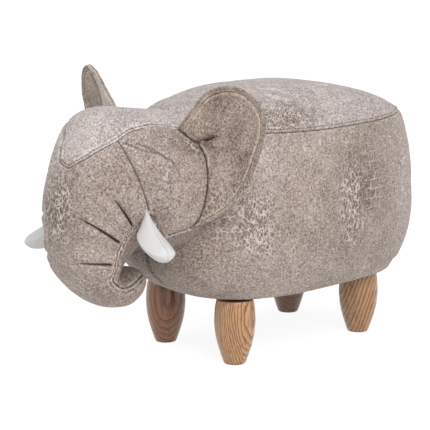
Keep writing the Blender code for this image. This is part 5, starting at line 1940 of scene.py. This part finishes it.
def gap_to(surface: BVHTree, skin: Skin) -> Array:
    """Returns how far each of a skin's points stands out from a surface, below zero inside it.

    Args:
        surface: The surface.
        skin: The skin.

    Returns:
        One distance for each point.
    """
    places = [Vector(place) for place in skin.grid.reshape(-1, 3).tolist()]
    found = [surface.find_nearest(place) for place in places]
    return np.array([(place - hit[0]).dot(hit[1]) for place, hit in zip(places, found)])


@dataclass
class Sewing:
    """Lines of stitches, which Geometry Nodes lay on the covers."""

    spacing: float = 4.4 * MM
    length: float = 2.9 * MM
    thickness: float = 0.95 * MM
    wander: float = 0.12
    lines: dict[str, list[tuple[Array, Array]]] = field(default_factory=dict)

    def line(self, surface: BVHTree, points: Array, body: str) -> None:
        """Lays a line on a surface.

        Args:
            surface: The cover that it is sewn into.
            points: Points near the cover.
            body: The body that the stitches ride on.
        """
        found = [surface.find_nearest(Vector(point)) for point in points]
        places = np.array([hit[0] + hit[1] * 0.1 * MM for hit in found])
        normals = np.array([hit[1] for hit in found])
        self.lines.setdefault(body, []).append((places, normals))

    def tree(self) -> bpy.types.NodeTree:
        """Makes the node tree that turns lines into stitches.

        Returns:
            The node tree.
        """
        tree = bpy.data.node_groups.new("stitches", "GeometryNodeTree")
        add = tree.interface.new_socket
        add("Geometry", in_out="INPUT", socket_type="NodeSocketGeometry")
        for name in ("Spacing", "Length", "Thickness", "Wander"):
            add(name, in_out="INPUT", socket_type="NodeSocketFloat")
        add("Seed", in_out="INPUT", socket_type="NodeSocketInt")
        add("Thread", in_out="INPUT", socket_type="NodeSocketMaterial")
        add("Geometry", in_out="OUTPUT", socket_type="NodeSocketGeometry")
        w = Wiring(tree)
        given = w.node("NodeGroupInput").outputs
        curve = w.out("GeometryNodeMeshToCurve", {0: given["Geometry"]})
        spaced = w.out("GeometryNodeResampleCurve", {"Curve": curve, "Length": given["Spacing"]}, mode="LENGTH")
        tangent = w.out("GeometryNodeInputTangent")
        out = w.out("GeometryNodeInputNamedAttribute", {"Name": "surface_out"}, data_type="FLOAT_VECTOR")
        turn = w.out("FunctionNodeAlignRotationToVector", {"Vector": tangent}, axis="X")
        turn = w.out("FunctionNodeAlignRotationToVector", {"Rotation": turn, "Vector": out}, axis="Z", pivot_axis="X")
        less = w.out("ShaderNodeMath", {0: given["Wander"], 1: -1.0}, operation="MULTIPLY")
        limits = {2: less, 3: given["Wander"], "Seed": given["Seed"]}
        chance = w.node("FunctionNodeRandomValue", limits, data_type="FLOAT")
        angles = w.out("ShaderNodeCombineXYZ", {2: chance.outputs[1]})
        nudge = w.out("FunctionNodeEulerToRotation", {0: angles})
        turn = w.out("FunctionNodeRotateRotation", {0: turn, 1: nudge}, rotation_space="LOCAL")
        thread = w.out("GeometryNodeMeshUVSphere", {"Segments": 6, "Rings": 5, "Radius": 0.5})
        sizes = w.out("ShaderNodeCombineXYZ", {0: given["Length"], 1: given["Thickness"], 2: given["Thickness"]})
        given_points = {"Points": spaced, "Instance": thread, "Rotation": turn, "Scale": sizes}
        laid = w.out("GeometryNodeInstanceOnPoints", given_points)
        real = w.out("GeometryNodeRealizeInstances", {0: laid})
        done = w.out("GeometryNodeSetMaterial", {"Geometry": real, "Material": given["Thread"]})
        w.node("NodeGroupOutput", {0: done})
        return tree

    def build(self, thread: bpy.types.Material) -> list[bpy.types.Object]:
        """Makes the stitches, one mesh for each body.

        Args:
            thread: The thread's material.

        Returns:
            The stitches' objects.
        """
        tree, made = self.tree(), []
        values = {
            "Spacing": self.spacing, "Length": self.length, "Thickness": self.thickness, "Wander": self.wander,
            "Seed": 7, "Thread": thread,
        }
        sockets = {item.name: item.identifier for item in tree.interface.items_tree if item.in_out == "INPUT"}
        for body, lines in self.lines.items():
            points = np.vstack([places for places, _ in lines])
            edges, start = [], 0
            for places, _ in lines:
                edges += [(start + i, start + i + 1) for i in range(len(places) - 1)]
                start += len(places)
            data = bpy.data.meshes.new(f"seam_lines_{body}")
            data.from_pydata(points.tolist(), edges, [])
            layer = data.attributes.new("surface_out", "FLOAT_VECTOR", "POINT")
            layer.data.foreach_set("vector", np.vstack([out for _, out in lines]).astype(np.float32).ravel())
            path = bpy.data.objects.new(f"seam_lines_{body}", data)
            modifier = path.modifiers.new("stitches", "NODES")
            modifier.node_group = tree
            for name, value in values.items():
                modifier[sockets[name]] = value
            bpy.context.scene.collection.objects.link(path)
            bpy.context.view_layer.update()
            sewn = bpy.data.meshes.new_from_object(path.evaluated_get(bpy.context.evaluated_depsgraph_get()))
            bpy.data.objects.remove(path, do_unlink=True)
            sewn.name = f"stitches_{body}"
            sewn.shade_smooth()
            obj = bpy.data.objects.new(f"stitches_{body}", sewn)
            if not sewn.materials:
                sewn.materials.append(thread)
            bpy.context.scene.collection.objects.link(obj)
            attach(obj, body)
            made.append(obj)
        return made


@dataclass
class Studio:
    """The camera, lamps, world and floor."""

    place: tuple[float, float, float] = (1.6533, -1.5043, 0.6552)
    azimuth: float = math.radians(48.19)
    elevation: float = math.radians(11.91)
    sensor: float = 36.0
    focal_pixels: float = 1665.5
    frame_pixels: float = 430.0
    floor_size: float = 24.0
    aim: tuple[float, float, float] = (0.0, 0.03, 0.2)
    lamps: tuple[tuple[str, tuple[float, float, float], float, float], ...] = (
        ("key", (1.9, -0.7, 1.6), 1.5, 27.0), ("fill", (-0.9, -2.2, 1.2), 1.6, 9.0),
        ("top", (0.6, 0.9, 2.0), 1.4, 1.5),
    )

    def build(self) -> None:
        """Makes the studio and chooses the view settings."""
        scene = bpy.context.scene
        scene.view_settings.view_transform = "Standard"
        self.camera(scene)
        self.world(scene)
        self.floor()
        for lamp in self.lamps:
            self.lamp(*lamp)

    def camera(self, scene: bpy.types.Scene) -> None:
        """Makes the camera at the photograph's angle.

        Args:
            scene: The scene that it looks at.
        """
        data = bpy.data.cameras.new("camera")
        data.sensor_width = self.sensor
        data.lens = self.sensor * self.focal_pixels / self.frame_pixels
        data.clip_end = 60.0
        obj = bpy.data.objects.new("camera", data)
        obj.location = self.place
        obj.rotation_euler = (math.pi / 2 - self.elevation, 0.0, self.azimuth)
        scene.collection.objects.link(obj)
        scene.camera = obj

    @staticmethod
    def world(scene: bpy.types.Scene) -> None:
        """Makes an even pale world that the camera sees as white.

        Args:
            scene: The scene that it lights.
        """
        world = bpy.data.worlds.new("studio")
        world.use_nodes = True
        scene.world = world
        w = Wiring(world.node_tree)
        soft = w.out("ShaderNodeBackground", {"Color": (1.0, 0.985, 0.97, 1.0), "Strength": 0.55})
        white = w.out("ShaderNodeBackground", {"Color": (1.0, 1.0, 1.0, 1.0), "Strength": 1.0})
        mixed = w.out("ShaderNodeMixShader", {0: w.seen(), 1: soft, 2: white})
        w.node("ShaderNodeOutputWorld", {"Surface": mixed})

    def floor(self) -> None:
        """Makes a plain pale floor, which looks white where no shadow falls."""
        made = bmesh.new()
        bmesh.ops.create_grid(made, x_segments=1, y_segments=1, size=self.floor_size / 2)
        data = bpy.data.meshes.new("floor")
        made.to_mesh(data)
        made.free()
        material = bpy.data.materials.new("pale_floor")
        material.use_nodes = True
        w = Wiring(material.node_tree)
        pale = w.out("ShaderNodeBsdfDiffuse", {"Color": (0.8, 0.8, 0.8, 1.0)})
        faint = w.out("ShaderNodeBsdfDiffuse", {"Color": (0.3, 0.3, 0.3, 1.0)})
        glow = w.out("ShaderNodeEmission", {"Color": (1.0, 1.0, 1.0, 1.0), "Strength": 0.88})
        white = w.out("ShaderNodeAddShader", {0: faint, 1: glow})
        mixed = w.out("ShaderNodeMixShader", {0: w.seen(), 1: pale, 2: white})
        w.node("ShaderNodeOutputMaterial", {"Surface": mixed})
        obj = dress("floor", data, material)

    def lamp(self, name: str, place: tuple[float, float, float], size: float, power: float) -> None:
        """Makes a soft square lamp that faces the stool.

        Args:
            name: The lamp's name.
            place: Where it stands.
            size: Its width.
            power: Its power in watts.
        """
        data = bpy.data.lights.new(name, "AREA")
        data.size = size
        data.energy = power
        obj = bpy.data.objects.new(name, data)
        obj.location = place
        obj.rotation_euler = (Vector(self.aim) - Vector(place)).to_track_quat("-Z", "Y").to_euler()
        bpy.context.scene.collection.objects.link(obj)


LEATHER = LeatherFinish("leather_cover")
EAR_FACE = LeatherFinish(
    "leather_ear_face", base=(160, 142, 131), pale=(208, 192, 180), deep=(96, 77, 63), vein=(214, 200, 188),
    mottle=1.7,
)
TUSK_CLOTH = LeatherFinish(
    "tusk_cloth", base=(230, 230, 230), pale=(240, 240, 240), deep=(188, 187, 186), cool=(228, 228, 228),
    vein=(240, 240, 240), seam_line=(80, 68, 60), vein_amount=0.0, mottle=0.25, speckle=0.3,
)
THREAD = PlainFinish(
    "thread", (78, 62, 52), (58, 44, 38), (1500.0, 1500.0, 1500.0), (0.6, 0.8), height=0.05 * MM
)
LEG_WOODS = {
    (71.5 * MM, -54 * MM): WoodFinish(
        "turned_wood_front_left", (150, 98, 61), (216, 168, 118), (104, 62, 36),
        shift=(-0.011, 0.077, 0.0), tilt=(-0.01, 0.05, 0.0), ring_scale=112.0,
    ),
    (-71.5 * MM, -54 * MM): WoodFinish(
        "turned_wood_front_right", (124, 72, 38), (156, 104, 66), (58, 32, 16),
        shift=(0.1155, 0.015, 0.0), tilt=(0.06, 0.08, 0.0), ring_scale=66.0,
    ),
    (71.5 * MM, 185 * MM): WoodFinish(
        "turned_wood_rear_left", (150, 100, 60), (204, 156, 110), (84, 48, 26),
        shift=(0.05, -0.02, 0.0), tilt=(0.24, -0.2, 0.0),
    ),
    (-71.5 * MM, 185 * MM): WoodFinish(
        "turned_wood_rear_right", (112, 68, 46), (142, 94, 72), (64, 36, 26),
        shift=(0.09, -0.2, 0.0), tilt=(0.1, 0.2, 0.0),
    ),
}
HIDDEN_FINISHES = {
    ("base_board", "deck_board", "post_", "front_panel", "rear_panel", "side_panel"): PlainFinish(
        "plywood_grain", (196, 160, 112), (168, 128, 84), (60.0, 8.0, 400.0), (0.6, 0.75)
    ),
    ("hanger_bolt", "threaded_insert"): PlainFinish(
        "zinc_steel", (172, 172, 176), (142, 142, 148), (300.0, 300.0, 40.0), (0.3, 0.45), metallic=1.0
    ),
    ("dust_cover",): PlainFinish(
        "black_dust_cloth", (26, 26, 27), (44, 44, 46), (900.0, 900.0, 900.0), (0.85, 0.95), sheen=0.2
    ),
    ("glide_",): PlainFinish(
        "glide_plastic_moulded", (48, 48, 50), (58, 58, 60), (500.0, 500.0, 500.0), (0.4, 0.55)
    ),
}


def dress_hidden_nodes() -> None:
    """Gives the CAD nodes that stay as they are their materials."""
    for starts, finish in HIDDEN_FINISHES.items():
        material = finish.build()
        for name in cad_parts:
            if name.startswith(starts):
                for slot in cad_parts[name].material_slots:
                    slot.material = material


def report(obj: bpy.types.Object) -> None:
    """Logs a finished piece."""
    LOG.info("%s: %d faces", obj.name, len(obj.data.polygons))


def main() -> None:
    """Builds the pieces in order and reports each."""
    logging.basicConfig(level=logging.INFO, format="%(name)s: %(message)s")
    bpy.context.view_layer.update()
    leather_grain, wood_grain = LeatherGrain().build(), WoodGrain().build()
    leather, ear_face, white = (finish.build(leather_grain) for finish in (LEATHER, EAR_FACE, TUSK_CLOTH))
    thread = THREAD.build()
    padding, sewing = Padding(), Sewing()
    body = BodyCover().build(padding, sewing, leather)
    report(body)
    head = HeadCover().build(padding, sewing, leather)
    report(head)
    head_surface = surface_of(head)
    right_ear = Ear(
        Side.RIGHT, (96 * MM, -125.5 * MM, 270 * MM), math.radians(20), math.radians(9.5), 94 * MM,
        rise=118 * MM, fold=FAR_EAR_FOLD,
    )
    for ear in (Ear(Side.LEFT), right_ear):
        report(ear.build(head_surface, sewing, ear_face, leather))
    for tusk in (Tusk(Side.LEFT, 219 * MM, 188 * MM), Tusk(Side.RIGHT, 208 * MM, 157 * MM)):
        report(tusk.build(white, head_surface))
    for (x, y), finish in LEG_WOODS.items():
        report(TurnedLeg(finish.name.removeprefix("turned_wood_"), x, y).build(finish.build(wood_grain)))
    for stitches in sewing.build(thread):
        report(stitches)
    dress_hidden_nodes()
    Studio().build()
    bpy.context.view_layer.update()


if __name__ == "__main__":
    main()
